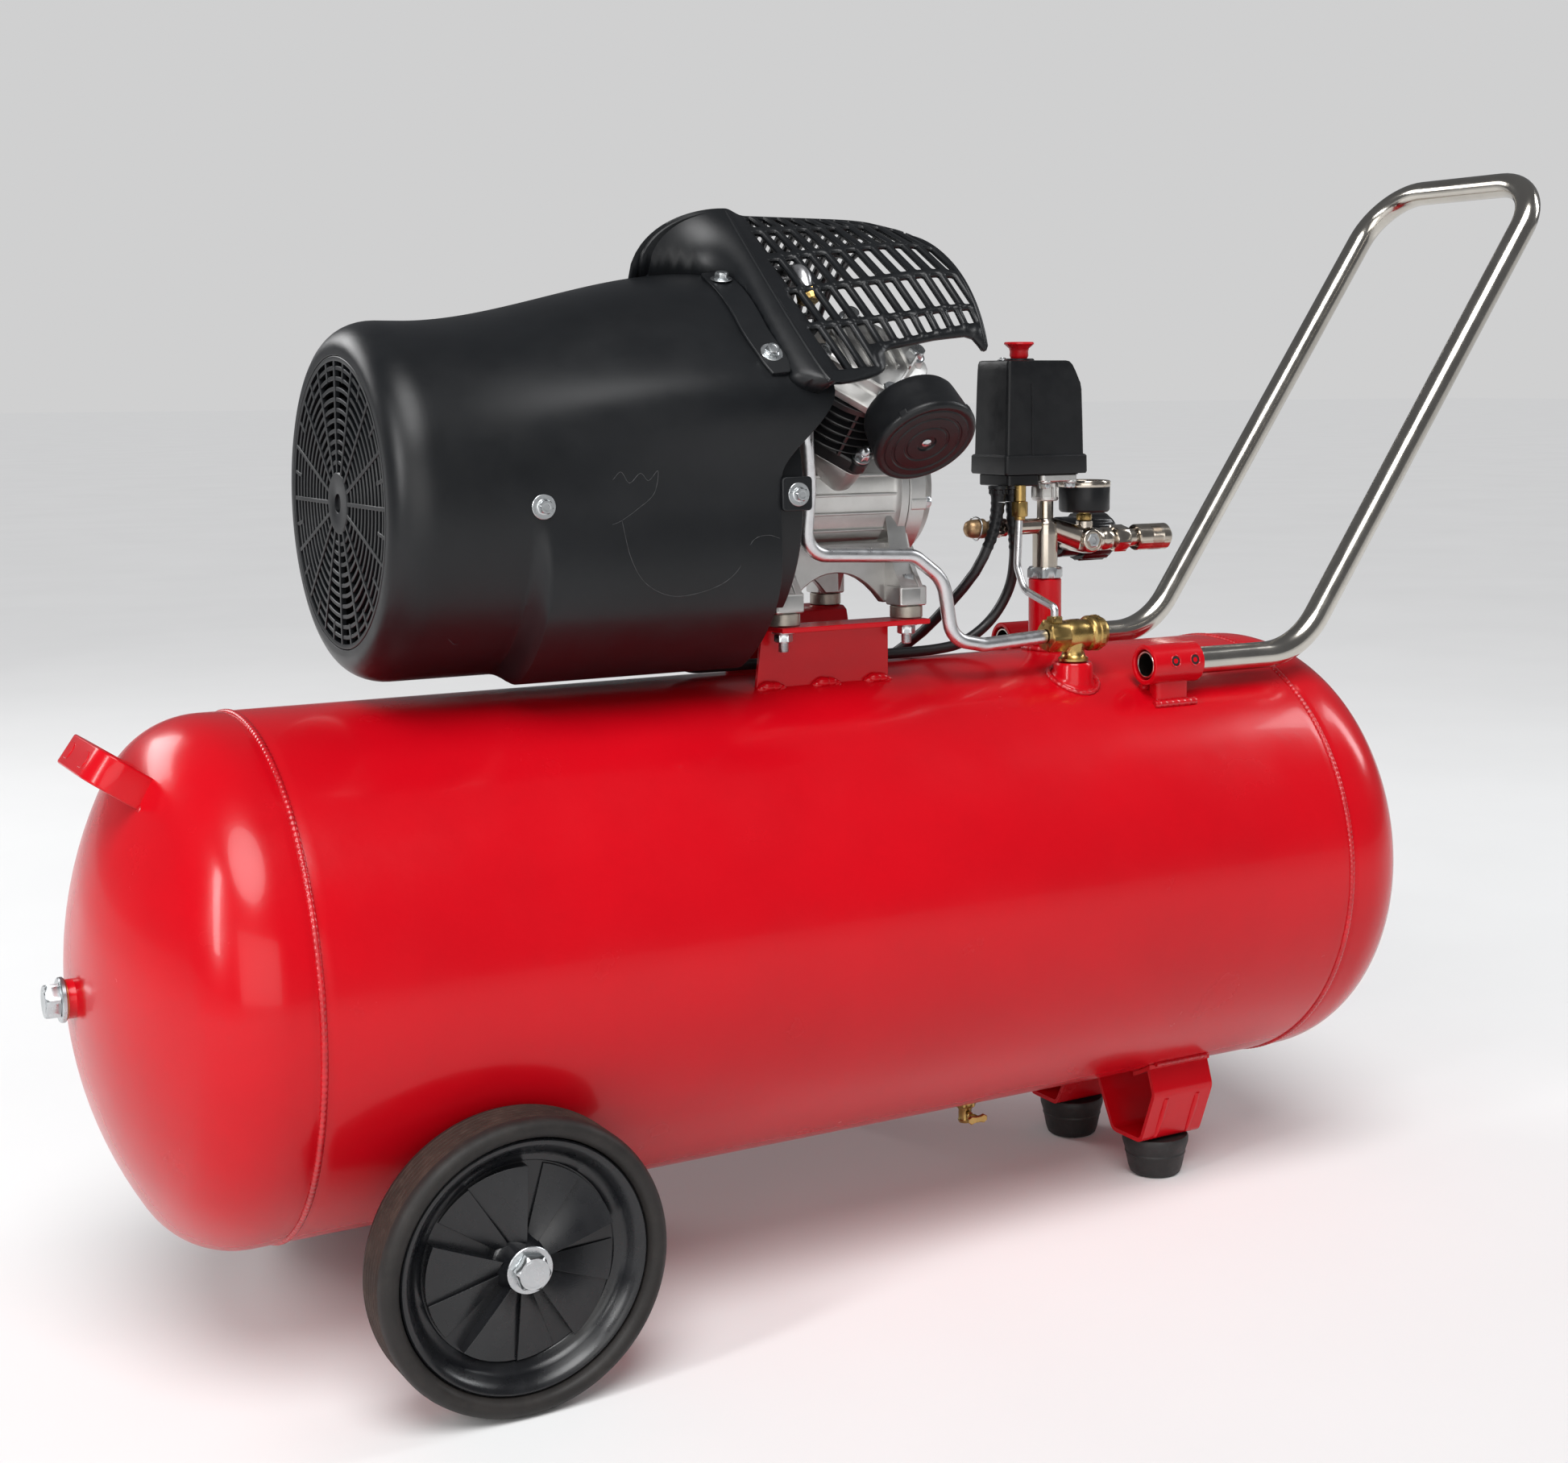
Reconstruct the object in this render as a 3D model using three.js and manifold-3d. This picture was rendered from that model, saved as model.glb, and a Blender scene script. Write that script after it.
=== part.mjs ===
// A wheeled 100 litre air compressor: a long horizontal air tank with a
// direct-drive V-twin pump and its motor on top, air controls on a riser, two
// wheels, two rubber feet, a bent tube handle and a mains lead.
// Millimetres, +Z up, +X towards the handle end, +Y across to the far side.
import * as THREE from 'three';
import { mergeVertices } from 'three/addons/utils/BufferGeometryUtils.js';
import Module from 'manifold-3d';

const wasm = await Module();
wasm.setup();

// ---------------------------------------------------------------- dimensions
const GAP = 0.3;                 // between pieces that touch
const WELD_TOLERANCE = 1e-4;
const ROUND = 24;                // sides of the large round pieces
const MID_ROUND = 16;            // sides of the middling round pieces
const SMALL_ROUND = 10;          // sides of the small round pieces
const WALL = 3;                  // tank plate and plastic mouldings

const TANK_R = 180;
const TANK_Z = 259;              // height of the tank's axis
const TANK_HALF = 420;           // from the middle to each head's weld
const HEAD_FLANGE = 18;
const HEAD_KNUCKLE_R = 61;
const HEAD_CROWN_R = 294;
const KNUCKLE_STEPS = 4;
const CROWN_STEPS = 3;

const WHEEL_X = -302.6;
const WHEEL_R = 98;
const WHEEL_Y = 192;             // middle of the tyre's width
const TYRE_HALF = 22;
const RIM_R = 84;
const AXLE_R = 6;
const AXLE_HEAD_R = 12;
const CHEEK_Y = 158;             // outer face of the axle bracket
const AXLE_BRACKET_LOW = 84;     // lower edge of the axle bracket
const AXLE_BRACKET_HALF = 20;

const FOOT_X = 316;
const FOOT_Y = 59.4;
const FOOT_HALF = 30;            // half length of the foot bracket
const FOOT_TOP = 33;             // top of the rubber foot

const SHAFT_Z = 577;             // motor and crank axis
const SHROUD_LEFT = -345;
const SHROUD_RIGHT = -46;
const SHROUD_R = 124;
const GRILLE_R = 100;
const CASE_R = 54;
const CASE_LEFT = -58;
const CASE_RIGHT = 78;
const COVER_RIGHT = 104;
const BANK_ANGLE = Math.PI / 4;  // each cylinder leans this far from upright
const BORE_R = 29.7;
const PISTON_R = 29.4;
const CRANK_THROW = 10;
const ROD_LENGTH = 96;
const BANKS = [
  { name: 'near', side: -1, x: 18 },
  { name: 'far', side: 1, x: 30 },
];
const CYLINDER_BASE = 66;        // distances from the crank axis along a cylinder
const CYLINDER_TOP = 124;
const HEAD_TOP = 146;
const MOUNT_X = [-34, 72];       // pump mounting studs
const MOUNT_Y = 62;
const FLANGE_Z = 480;            // top of the pump brackets
const PUMP_BRACKET_HALF = 63.5;
const STUD_HOLE_R = 4.5;
const ISOLATOR_HEIGHT = 9;
const ISOLATOR_R = 11;

const RISER_X = 244;             // air controls' riser
const RISER_TOP = 497;
const RISER_R = 13.5;
const RISER_BORE_R = 8;
const MANIFOLD_Z = 540;
const OUTLET_X = 283.5;
const OUTLET_Z = 527;
const VALVE_X = 220;             // check valve boss
const VALVE_Y = -73;
const VALVE_BOSS_TOP = 437;
const VALVE_BOSS_R = 14;
const VALVE_BORE_R = 6;
const VALVE_Z = 459;
const DRAIN_X = 165;
const DRAIN_BOSS_R = 14;
const DRAIN_BORE_R = 5;
const BOSS_DROP = 5;             // the drain boss stands this far below the tank

const HANDLE_R = 10.75;
const HANDLE_Y = 100.65;
const HANDLE_Z = 434;
const HANDLE_KNEE_X = 428;
const HANDLE_TOP = [706, 829];
const HANDLE_BENDS = [70, 52, 52, 70];
const SOCKET = [268.6, 318];     // both ends of each handle socket
const SOCKET_R = 16;
const SOCKET_BORE_R = 12.2;

const STRAP_ANGLE = -55.2 * Math.PI / 180;
const STRAP_BASE = [-491.5, 398];
const STRAP_HALF_WIDTH = 11;
const STRAP_HALF_SPAN = 50;
const STRAP_REACH = 38;
const STRAP_THICK = 5;

const LEAD_R = 4.25;             // mains lead and motor lead
const COIL_CENTRE = [88.7, 320];
const COIL_MID_R = 11 * LEAD_R;
const COIL_TURNS_WIDE = 2;
const COIL_TURNS_HIGH = 2;

// ----------------------------------------------------------------- materials
const paint = (color, roughness, metalness) =>
  new THREE.MeshStandardMaterial({ color, roughness, metalness });
const redPaint = paint(0xc0101c, 0.28, 0.1);
const castAluminium = paint(0xa9a8a4, 0.5, 0.9);
const bareAluminium = paint(0xc4c4c6, 0.35, 1);
const blackPlastic = paint(0x17191b, 0.55, 0);
const glossPlastic = paint(0x0e0f10, 0.25, 0);
const blackIron = paint(0x141414, 0.45, 0.4);
const rubber = paint(0x1a1a19, 0.85, 0);
const tyreRubber = paint(0x242220, 0.9, 0);
const brass = paint(0xa8863a, 0.35, 1);
const nickel = paint(0xb5aa98, 0.2, 1);
const zinc = paint(0xb9bcc0, 0.3, 1);
const steelTube = paint(0xa09a8c, 0.22, 1);
const copper = paint(0x9c5a2c, 0.4, 1);
const iron = paint(0x5b5d60, 0.5, 1);
const redPlastic = paint(0xd0101a, 0.35, 0);
const bronze = paint(0xa77c4e, 0.5, 0.8);

// ------------------------------------------------------------ solid geometry
// Merges shared vertices, drops flat triangles and turns the faces outwards.
function weld(geometry) {
  const bare = geometry.clone();
  bare.deleteAttribute('normal');
  bare.deleteAttribute('uv');
  const merged = mergeVertices(bare, WELD_TOLERANCE);
  const vertices = merged.attributes.position.array;
  const old = merged.index.array;
  const kept = [];
  let volume = 0;
  for (let i = 0; i < old.length; i += 3) {
    const [a, b, c] = [old[i], old[i + 1], old[i + 2]];
    if (a === b || b === c || c === a) continue;
    kept.push(a, b, c);
    const p = new THREE.Vector3().fromArray(vertices, 3 * a);
    const q = new THREE.Vector3().fromArray(vertices, 3 * b);
    volume += p.dot(q.cross(new THREE.Vector3().fromArray(vertices, 3 * c)));
  }
  if (volume < 0) kept.reverse();
  merged.setIndex(kept);
  return merged;
}

function solid(shape) {
  if (!(shape instanceof THREE.BufferGeometry)) return shape;
  const welded = weld(shape);
  return new wasm.Manifold(new wasm.Mesh({
    numProp: 3,
    vertProperties: new Float32Array(welded.attributes.position.array),
    triVerts: new Uint32Array(welded.index.array),
  }));
}

const join = (first, ...others) => others.reduce((sum, item) => sum.add(solid(item)), solid(first));
const cut = (first, ...others) => others.reduce((rest, item) => rest.subtract(solid(item)), solid(first));

function geometryOf(shape) {
  if (shape instanceof THREE.BufferGeometry) return weld(shape);
  const mesh = shape.getMesh();
  const geometry = new THREE.BufferGeometry();
  geometry.setAttribute('position', new THREE.BufferAttribute(mesh.vertProperties, 3));
  geometry.setIndex(new THREE.BufferAttribute(mesh.triVerts, 1));
  return geometry;
}

function piece(parent, name, shape, material) {
  const geometry = geometryOf(shape);
  geometry.computeVertexNormals();
  const mesh = new THREE.Mesh(geometry, material);
  mesh.name = name;
  parent.add(mesh);
  return mesh;
}

function groupAt(parent, x, y, z) {
  const group = new THREE.Group();
  group.position.set(x, y, z);
  parent.add(group);
  return group;
}

// Shapes are made about +Z; these lay them along +X or +Y.
const toX = (geometry) => geometry.rotateY(Math.PI / 2);
const toY = (geometry) => geometry.rotateX(-Math.PI / 2);

function rod(radius, z0, z1, sides = SMALL_ROUND, topRadius = radius) {
  return new THREE.CylinderGeometry(topRadius, radius, z1 - z0, sides)
    .rotateX(Math.PI / 2)
    .translate(0, 0, (z0 + z1) / 2);
}

const rodX = (radius, x0, x1, sides = SMALL_ROUND, end = radius) => toX(rod(radius, x0, x1, sides, end));
const rodY = (radius, y0, y1, sides = SMALL_ROUND, end = radius) => toY(rod(radius, y0, y1, sides, end));

function block(x0, x1, y0, y1, z0, z1) {
  return new THREE.BoxGeometry(x1 - x0, y1 - y0, z1 - z0)
    .translate((x0 + x1) / 2, (y0 + y1) / 2, (z0 + z1) / 2);
}

// A solid of revolution about +Z from [radius, z] points.
function turned(profile, sides = ROUND) {
  const points = profile.map(([r, z]) => new THREE.Vector2(r, z));
  return new THREE.LatheGeometry(points, sides).rotateX(Math.PI / 2);
}

const shapeOf = (points) => new THREE.Shape(points.map(([a, b]) => new THREE.Vector2(a, b)));
const extrude = (shape, depth) => new THREE.ExtrudeGeometry(shape, { depth, bevelEnabled: false });

// Prisms: an outline in YZ drawn out along X, and an outline in XY drawn out along Z.
function prismX(outline, x0, x1) {
  const basis = new THREE.Matrix4().makeBasis(
    new THREE.Vector3(0, 1, 0), new THREE.Vector3(0, 0, 1), new THREE.Vector3(1, 0, 0));
  return extrude(shapeOf(outline), x1 - x0).applyMatrix4(basis).translate(x0, 0, 0);
}

const prismZ = (outline, z0, z1) => extrude(shapeOf(outline), z1 - z0).translate(0, 0, z0);

// A square of the given half width with its corners rounded.
function roundedSquare(half, corner, steps = 2) {
  const outline = [];
  for (let k = 0; k < 4; k += 1) {
    for (let i = 0; i <= steps; i += 1) {
      const a = (k + i / steps) * Math.PI / 2;
      const [cx, cy] = [half - corner, half - corner];
      const turn = k * Math.PI / 2;
      const x = cx * Math.cos(turn) - cy * Math.sin(turn);
      const y = cx * Math.sin(turn) + cy * Math.cos(turn);
      outline.push([x + corner * Math.cos(a), y + corner * Math.sin(a)]);
    }
  }
  return outline;
}

// A centre line of straight runs and rounded bends, stepped only where it bends.
const BEND_STEPS = 3;
class BentPath extends THREE.CurvePath {
  steps() {
    return this.stations().length - 1;
  }

  stations() {
    const lengths = this.getCurveLengths();
    const total = lengths[lengths.length - 1];
    const list = [0];
    this.curves.forEach((curve, i) => {
      const from = i ? lengths[i - 1] : 0;
      const count = curve instanceof THREE.LineCurve3 ? 1 : BEND_STEPS;
      for (let k = 1; k <= count; k += 1) list.push((from + (lengths[i] - from) * k / count) / total);
    });
    return list;
  }

  getPoint(t) {
    const list = this.stations();
    const place = Math.min(t, 1) * (list.length - 1);
    const i = Math.min(Math.floor(place), list.length - 2);
    return super.getPoint(list[i] + (list[i + 1] - list[i]) * (place - i));
  }

  getUtoTmapping(u) {
    return u;
  }
}

// Each inner corner of the run is rounded by its own radius.
function bentPath(corners, bends) {
  const points = corners.map((p) => new THREE.Vector3(...p));
  const path = new BentPath();
  let start = points[0];
  for (let i = 1; i < points.length - 1; i += 1) {
    const before = points[i].clone().sub(points[i - 1]).normalize();
    const after = points[i + 1].clone().sub(points[i]).normalize();
    const half = before.angleTo(after) / 2;
    const reach = bends[i - 1] * Math.tan(half);
    const enter = points[i].clone().addScaledVector(before, -reach);
    const leave = points[i].clone().addScaledVector(after, reach);
    path.add(new THREE.LineCurve3(start, enter));
    const handle = bends[i - 1] * 4 / 3 * Math.tan(half / 2);
    path.add(new THREE.CubicBezierCurve3(enter,
      enter.clone().addScaledVector(before, handle),
      leave.clone().addScaledVector(after, -handle), leave));
    start = leave;
  }
  path.add(new THREE.LineCurve3(start, points[points.length - 1]));
  return path;
}

function tube(path, radius, steps, sides) {
  const section = new THREE.Shape();
  for (let i = 0; i < sides; i += 1) {
    const a = i * 2 * Math.PI / sides;
    section[i ? 'lineTo' : 'moveTo'](radius * Math.cos(a), radius * Math.sin(a));
  }
  return new THREE.ExtrudeGeometry(section, { steps, bevelEnabled: false, extrudePath: path });
}

function bentTube(corners, bends, radius, sides) {
  const path = bentPath(corners, bends);
  return tube(path, radius, path.steps(), sides);
}

const smooth = (points) => new THREE.CatmullRomCurve3(points.map((p) => new THREE.Vector3(...p)));

// A solid through a row of closed outlines with the same number of points.
function loft(sections) {
  const count = sections[0].length;
  const vertices = sections.flat(2);
  const index = [];
  for (let s = 0; s < sections.length - 1; s += 1) {
    for (let i = 0; i < count; i += 1) {
      const a = s * count + i;
      const b = s * count + (i + 1) % count;
      index.push(a, b, a + count, b, b + count, a + count);
    }
  }
  const last = (sections.length - 1) * count;
  for (const [row, order] of [[0, 1], [last, -1]]) {
    const middle = vertices.length / 3;
    for (let k = 0; k < 3; k += 1) {
      let sum = 0;
      for (let i = 0; i < count; i += 1) sum += vertices[3 * (row + i) + k];
      vertices.push(sum / count);
    }
    for (let i = 0; i < count; i += 1) {
      const pair = [row + i, row + (i + 1) % count];
      if (order < 0) pair.reverse();
      index.push(middle, pair[1], pair[0]);
    }
  }
  const geometry = new THREE.BufferGeometry();
  geometry.setAttribute('position', new THREE.Float32BufferAttribute(vertices, 3));
  geometry.setIndex(index);
  return geometry;
}

const assembly = new THREE.Group();
const machine = groupAt(assembly, 0, 0, 0);

// ---------------------------------------------------------------------- tank
const crownCentre = HEAD_FLANGE - Math.sqrt((HEAD_CROWN_R - HEAD_KNUCKLE_R) ** 2
  - (TANK_R - HEAD_KNUCKLE_R) ** 2);
const crownEdge = Math.atan2(TANK_R - HEAD_KNUCKLE_R, HEAD_FLANGE - crownCentre);
const HEAD_DEPTH = crownCentre + HEAD_CROWN_R;

// One dished head's meridian, [radius, height above the weld], from the rim to the axis.
function headMeridian(inset, knuckleSteps, crownSteps) {
  const line = [[TANK_R - inset, 0]];
  for (let i = 0; i <= knuckleSteps; i += 1) {
    const a = Math.PI / 2 - (Math.PI / 2 - crownEdge) * i / knuckleSteps;
    const r = HEAD_KNUCKLE_R - inset;
    line.push([TANK_R - HEAD_KNUCKLE_R + r * Math.sin(a), HEAD_FLANGE + r * Math.cos(a)]);
  }
  for (let i = 1; i <= crownSteps; i += 1) {
    const a = crownEdge * (1 - i / crownSteps);
    const r = HEAD_CROWN_R - inset;
    line.push([i === crownSteps ? 0 : r * Math.sin(a), crownCentre + r * Math.cos(a)]);
  }
  return line;
}

const headSolid = (inset) => turned([[0, 0], ...headMeridian(inset, KNUCKLE_STEPS, CROWN_STEPS)]);
const headShell = () => turned([...headMeridian(0, KNUCKLE_STEPS, CROWN_STEPS),
  ...headMeridian(WALL, KNUCKLE_STEPS - 1, CROWN_STEPS - 1).reverse(), [TANK_R, 0]]);
const tankBody = (radius) => rodX(radius, -TANK_HALF + GAP, TANK_HALF - GAP, ROUND);

const tank = groupAt(machine, 0, 0, TANK_Z);

function handleSocket(side) {
  const y = side * HANDLE_Y;
  const z = HANDLE_Z - TANK_Z;
  const webEnd = 8;
  const web = block(SOCKET[0] + webEnd, SOCKET[1] - webEnd, y - 5, y + 5,
    z - SOCKET_R - 13, z - SOCKET_R + 4);
  return [rodX(SOCKET_R, SOCKET[0], SOCKET[1]).translate(0, y, z), web];
}

// A folded channel, open below, that carries the wheel bolt in its outer cheek.
function axleBracket(side) {
  const inboard = 66;
  const outline = [[inboard, 4], [CHEEK_Y, 0], [CHEEK_Y, 30], [138, 62], [inboard, 26]];
  const inside = outline.map(([y, z]) => [y === inboard ? y + WALL : y - WALL, z - WALL]);
  const place = (points, half) => prismX(points, -half, half)
    .rotateZ(side > 0 ? 0 : Math.PI)
    .translate(WHEEL_X, 0, AXLE_BRACKET_LOW - TANK_Z);
  return cut(place(outline, AXLE_BRACKET_HALF), place(inside, AXLE_BRACKET_HALF - WALL));
}

const BOSS_BITE = 6;             // how far a boss reaches into the tank plate
const BORE_START = 120;          // bores run from inside the tank, this far off its axis
let weldment = join(tankBody(TANK_R),
  rod(RISER_R, TANK_R - BOSS_BITE, RISER_TOP - TANK_Z).translate(RISER_X, 0, 0),
  rod(VALVE_BOSS_R + 3, 150, VALVE_BOSS_TOP - TANK_Z, SMALL_ROUND, VALVE_BOSS_R)
    .translate(VALVE_X, VALVE_Y, 0),
  rod(DRAIN_BOSS_R, -TANK_R - BOSS_DROP, -TANK_R + BOSS_BITE).translate(DRAIN_X, 0, 0),
  ...handleSocket(-1), ...handleSocket(1), axleBracket(-1), axleBracket(1));
weldment = cut(weldment,
  rodX(TANK_R - WALL, -TANK_HALF - 1, TANK_HALF + 1, ROUND),
  rod(RISER_BORE_R, BORE_START, RISER_TOP).translate(RISER_X, 0, 0),
  rod(VALVE_BORE_R, BORE_START, RISER_TOP).translate(VALVE_X, VALVE_Y, 0),
  rod(DRAIN_BORE_R, -TANK_R - 2 * BOSS_DROP, -BORE_START).translate(DRAIN_X, 0, 0));
for (const side of [-1, 1]) {
  const bore = rodX(SOCKET_BORE_R, SOCKET[0] - 1, SOCKET[1] + 1);
  const axleHole = rodY(AXLE_R + 2 * GAP, -12, 12).translate(WHEEL_X, side * CHEEK_Y, WHEEL_R - TANK_Z);
  weldment = cut(weldment, bore.translate(0, side * HANDLE_Y, HANDLE_Z - TANK_Z), axleHole);
}
piece(tank, 'tank_shell', weldment, redPaint);

const PLUG_BOSS_R = 13;
const plugBoss = rod(PLUG_BOSS_R + 5, HEAD_DEPTH - 6, HEAD_DEPTH + 5, SMALL_ROUND, PLUG_BOSS_R);
const plugHole = rod(7, HEAD_DEPTH - 20, HEAD_DEPTH + 20);
const leftHead = cut(join(headShell(), plugBoss), plugHole);
const leftGroup = groupAt(tank, -TANK_HALF, 0, 0);
leftGroup.rotation.y = -Math.PI / 2;
piece(leftGroup, 'tank_head_left', leftHead, redPaint);
piece(leftGroup, 'end_plug', join(rod(6.5, HEAD_DEPTH - 5, HEAD_DEPTH + 6),
  rod(15, HEAD_DEPTH + 5 + GAP, HEAD_DEPTH + 9), rod(11, HEAD_DEPTH + 8, HEAD_DEPTH + 18, 6)), zinc);
const rightGroup = groupAt(tank, TANK_HALF, 0, 0);
rightGroup.rotation.y = Math.PI / 2;
piece(rightGroup, 'tank_head_right', headShell(), redPaint);

// Flat bar bent into a U and welded to the upper part of the left head.
function liftStrap() {
  const corner = 16;
  const arc = (radius, reach) => {
    const points = [];
    for (const [side, from] of [[1, 0], [-1, Math.PI / 2]]) {
      for (let i = 0; i <= 5; i += 1) {
        const a = from + (Math.PI / 2) * i / 5;
        const y = side * (STRAP_HALF_SPAN - STRAP_THICK / 2 - corner);
        points.push([y + radius * Math.cos(a), reach - corner + radius * Math.sin(a)]);
      }
    }
    return points;
  };
  const outer = arc(corner + STRAP_THICK / 2, STRAP_REACH);
  const inner = arc(corner - STRAP_THICK / 2, STRAP_REACH);
  const foot = -14;
  const [out, inn] = [outer[0][0], inner[0][0]];
  const outline = [[inn, foot], [out, foot], ...outer, [-out, foot], [-inn, foot], ...inner.reverse()];
  const bar = prismX(outline, -STRAP_HALF_WIDTH, STRAP_HALF_WIDTH)
    .rotateY(STRAP_ANGLE)
    .translate(STRAP_BASE[0], 0, STRAP_BASE[1] - TANK_Z);
  const head = headSolid(-GAP).rotateY(-Math.PI / 2).translate(-TANK_HALF, 0, 0);
  return cut(bar, head, tankBody(TANK_R));
}
piece(tank, 'lift_strap', liftStrap(), redPaint);

// Brass drain cock with a tap on its side.
const drain = groupAt(tank, DRAIN_X, 0, -TANK_R - BOSS_DROP);
piece(drain, 'drain_cock', join(rod(10, -9, -GAP, 6), rod(4.5, -1, 12), rod(6, -22, -8)), brass);
const tap = groupAt(drain, 0, -6 - GAP, -15);
piece(tap, 'drain_tap', join(rodY(3, -12, 0), block(-9, 9, -14, -11, -4, 4)), brass);

// -------------------------------------------------------------------- wheels
function tyre() {
  const side = [[RIM_R, 13], [RIM_R + 6, TYRE_HALF], [WHEEL_R - 4, TYRE_HALF - 1], [WHEEL_R, 14]];
  const back = [...side].reverse().map(([r, z]) => [r, -z]);
  return turned([...side, ...back, side[0]], ROUND);
}

function rim() {
  const bore = AXLE_R + GAP;
  const outline = [[bore, -21], [17, -21], [17, -4], [76, -4], [76, -15], [RIM_R - GAP, -15],
    [RIM_R - GAP, 15], [72, 4], [20, 4], [20, 19], [bore, 19], [bore, -21]];
  return turned(outline, ROUND);
}

for (const { name, side } of BANKS) {
  const wheel = groupAt(machine, WHEEL_X, side * WHEEL_Y, WHEEL_R);
  wheel.rotation.x = -side * Math.PI / 2;
  piece(wheel, `tyre_${name}`, tyre(), tyreRubber);
  piece(wheel, `rim_${name}`, rim(), glossPlastic);
  const inside = CHEEK_Y - WHEEL_Y;
  const shank = rod(AXLE_R, inside - WALL - 11, 20);
  const head = rod(AXLE_HEAD_R, 19 + GAP, 26.5, 6);
  const nut = rod(AXLE_HEAD_R, inside - WALL - 12, inside - WALL - GAP, 6);
  const spacer = rod(9, inside + GAP, -21 - GAP);
  piece(wheel, `axle_bolt_${name}`, join(shank, head, nut, spacer), zinc);
}

// ---------------------------------------------------------------------- feet
// Folded plate: a sloping inner arm, a flat sole, a kinked outer arm and a lip under the tank.
function footBracket() {
  const outside = [[-15, 88], [-11, 86], [-41, 34], [-78, 34], [-97, 79], [-89, 98], [-90, 106]];
  const inside = [[-86, 106], [-85.5, 99], [-93, 79], [-75.5, 37.5], [-43, 37.5]];
  const lip = [[-90, 100], [-86, 100], [-68, 106], [-68, 110], [-92, 110]];
  return cut(join(prismX([...outside, ...inside], -FOOT_HALF, FOOT_HALF), prismX(lip, -FOOT_HALF, FOOT_HALF)),
    tankBody(TANK_R + GAP).translate(0, 0, TANK_Z));
}

for (const { name, side } of BANKS) {
  const foot = groupAt(machine, FOOT_X, 0, 0);
  foot.rotation.z = side < 0 ? 0 : Math.PI;
  piece(foot, `foot_bracket_${name}`, footBracket(), redPaint);
  piece(foot, `rubber_foot_${name}`, turned([[0, 0], [21, 0], [23, 2], [27.5, 25], [27, FOOT_TOP],
    [0, FOOT_TOP]], MID_ROUND).translate(0, -FOOT_Y, 0), rubber);
}

// -------------------------------------------------------------- pump mounting
const mountCentre = (MOUNT_X[0] + MOUNT_X[1]) / 2;
const BRACKET_PLATE = 4;
const BRACKET_OVERHANG = 18;     // the flange runs on past the end of its web
for (const { name, side } of BANKS) {
  const holder = groupAt(machine, mountCentre, 0, 0);
  holder.rotation.z = side < 0 ? 0 : Math.PI;
  const web = block(-PUMP_BRACKET_HALF, PUMP_BRACKET_HALF - BRACKET_OVERHANG, -48, -48 + BRACKET_PLATE,
    420, FLANGE_Z);
  const flange = block(-PUMP_BRACKET_HALF, PUMP_BRACKET_HALF, -80, -48 + BRACKET_PLATE,
    FLANGE_Z - BRACKET_PLATE, FLANGE_Z);
  const holes = MOUNT_X.map((x) =>
    rod(STUD_HOLE_R, FLANGE_Z - 10, FLANGE_Z + 10).translate(x - mountCentre, -MOUNT_Y, 0));
  piece(holder, `pump_bracket_${name}`,
    cut(join(web, flange), tankBody(TANK_R + GAP).translate(0, 0, TANK_Z), ...holes), redPaint);
  MOUNT_X.forEach((x, i) => {
    const isolator = groupAt(machine, x, side * MOUNT_Y, FLANGE_Z + GAP);
    piece(isolator, `isolator_${name}_${i + 1}`,
      cut(rod(ISOLATOR_R, 0, ISOLATOR_HEIGHT), rod(STUD_HOLE_R, -1, ISOLATOR_HEIGHT + 1)), bronze);
  });
}

// ----------------------------------------------------------------- crankcase
const pump = groupAt(machine, 0, 0, SHAFT_Z);
const FOOT_PAD = FLANGE_Z + ISOLATOR_HEIGHT + 2 * GAP - SHAFT_Z;
const tilt = (geometry, side) => geometry.rotateX(-side * BANK_ANGLE);

function crankcase() {
  const legs = [];
  for (const x of MOUNT_X) {
    for (const side of [-1, 1]) {
      const web = [[20, -46], [48, -26], [56, -50], [72, FOOT_PAD + 14], [76, FOOT_PAD], [48, FOOT_PAD],
        [40, -66]].map(([y, z]) => [side * y, z]);
      legs.push(prismX(side < 0 ? web : web.reverse(), x - 12, Math.min(x + 12, CASE_RIGHT - GAP)));
      legs.push(block(x - 15, x + 15, side * MOUNT_Y - 15, side * MOUNT_Y + 15, FOOT_PAD, FOOT_PAD + 15));
    }
  }
  const pads = BANKS.map(({ side, x }) =>
    tilt(prismZ(roundedSquare(36, 9), 22, CYLINDER_BASE).rotateZ(Math.PI / 4).translate(x, 0, 0), side));
  const bores = BANKS.map(({ side, x }) =>
    tilt(rod(BORE_R + GAP, 10, CYLINDER_BASE + 24, MID_ROUND).translate(x, 0, 0), side));
  const holes = MOUNT_X.flatMap((x) => [-1, 1].map((side) =>
    rod(STUD_HOLE_R, FOOT_PAD - 5, FOOT_PAD + 20).translate(x, side * MOUNT_Y, 0)));
  const chamber = rodX(CASE_R - 6, CASE_LEFT + 8, CASE_RIGHT + 1, MID_ROUND);
  const bearingHole = rodX(17, CASE_LEFT - 1, CASE_LEFT + 9);
  return cut(join(rodX(CASE_R, CASE_LEFT, CASE_RIGHT, MID_ROUND), ...pads, ...legs),
    chamber, bearingHole, ...bores, ...holes);
}
piece(pump, 'crankcase', crankcase(), castAluminium);

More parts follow.
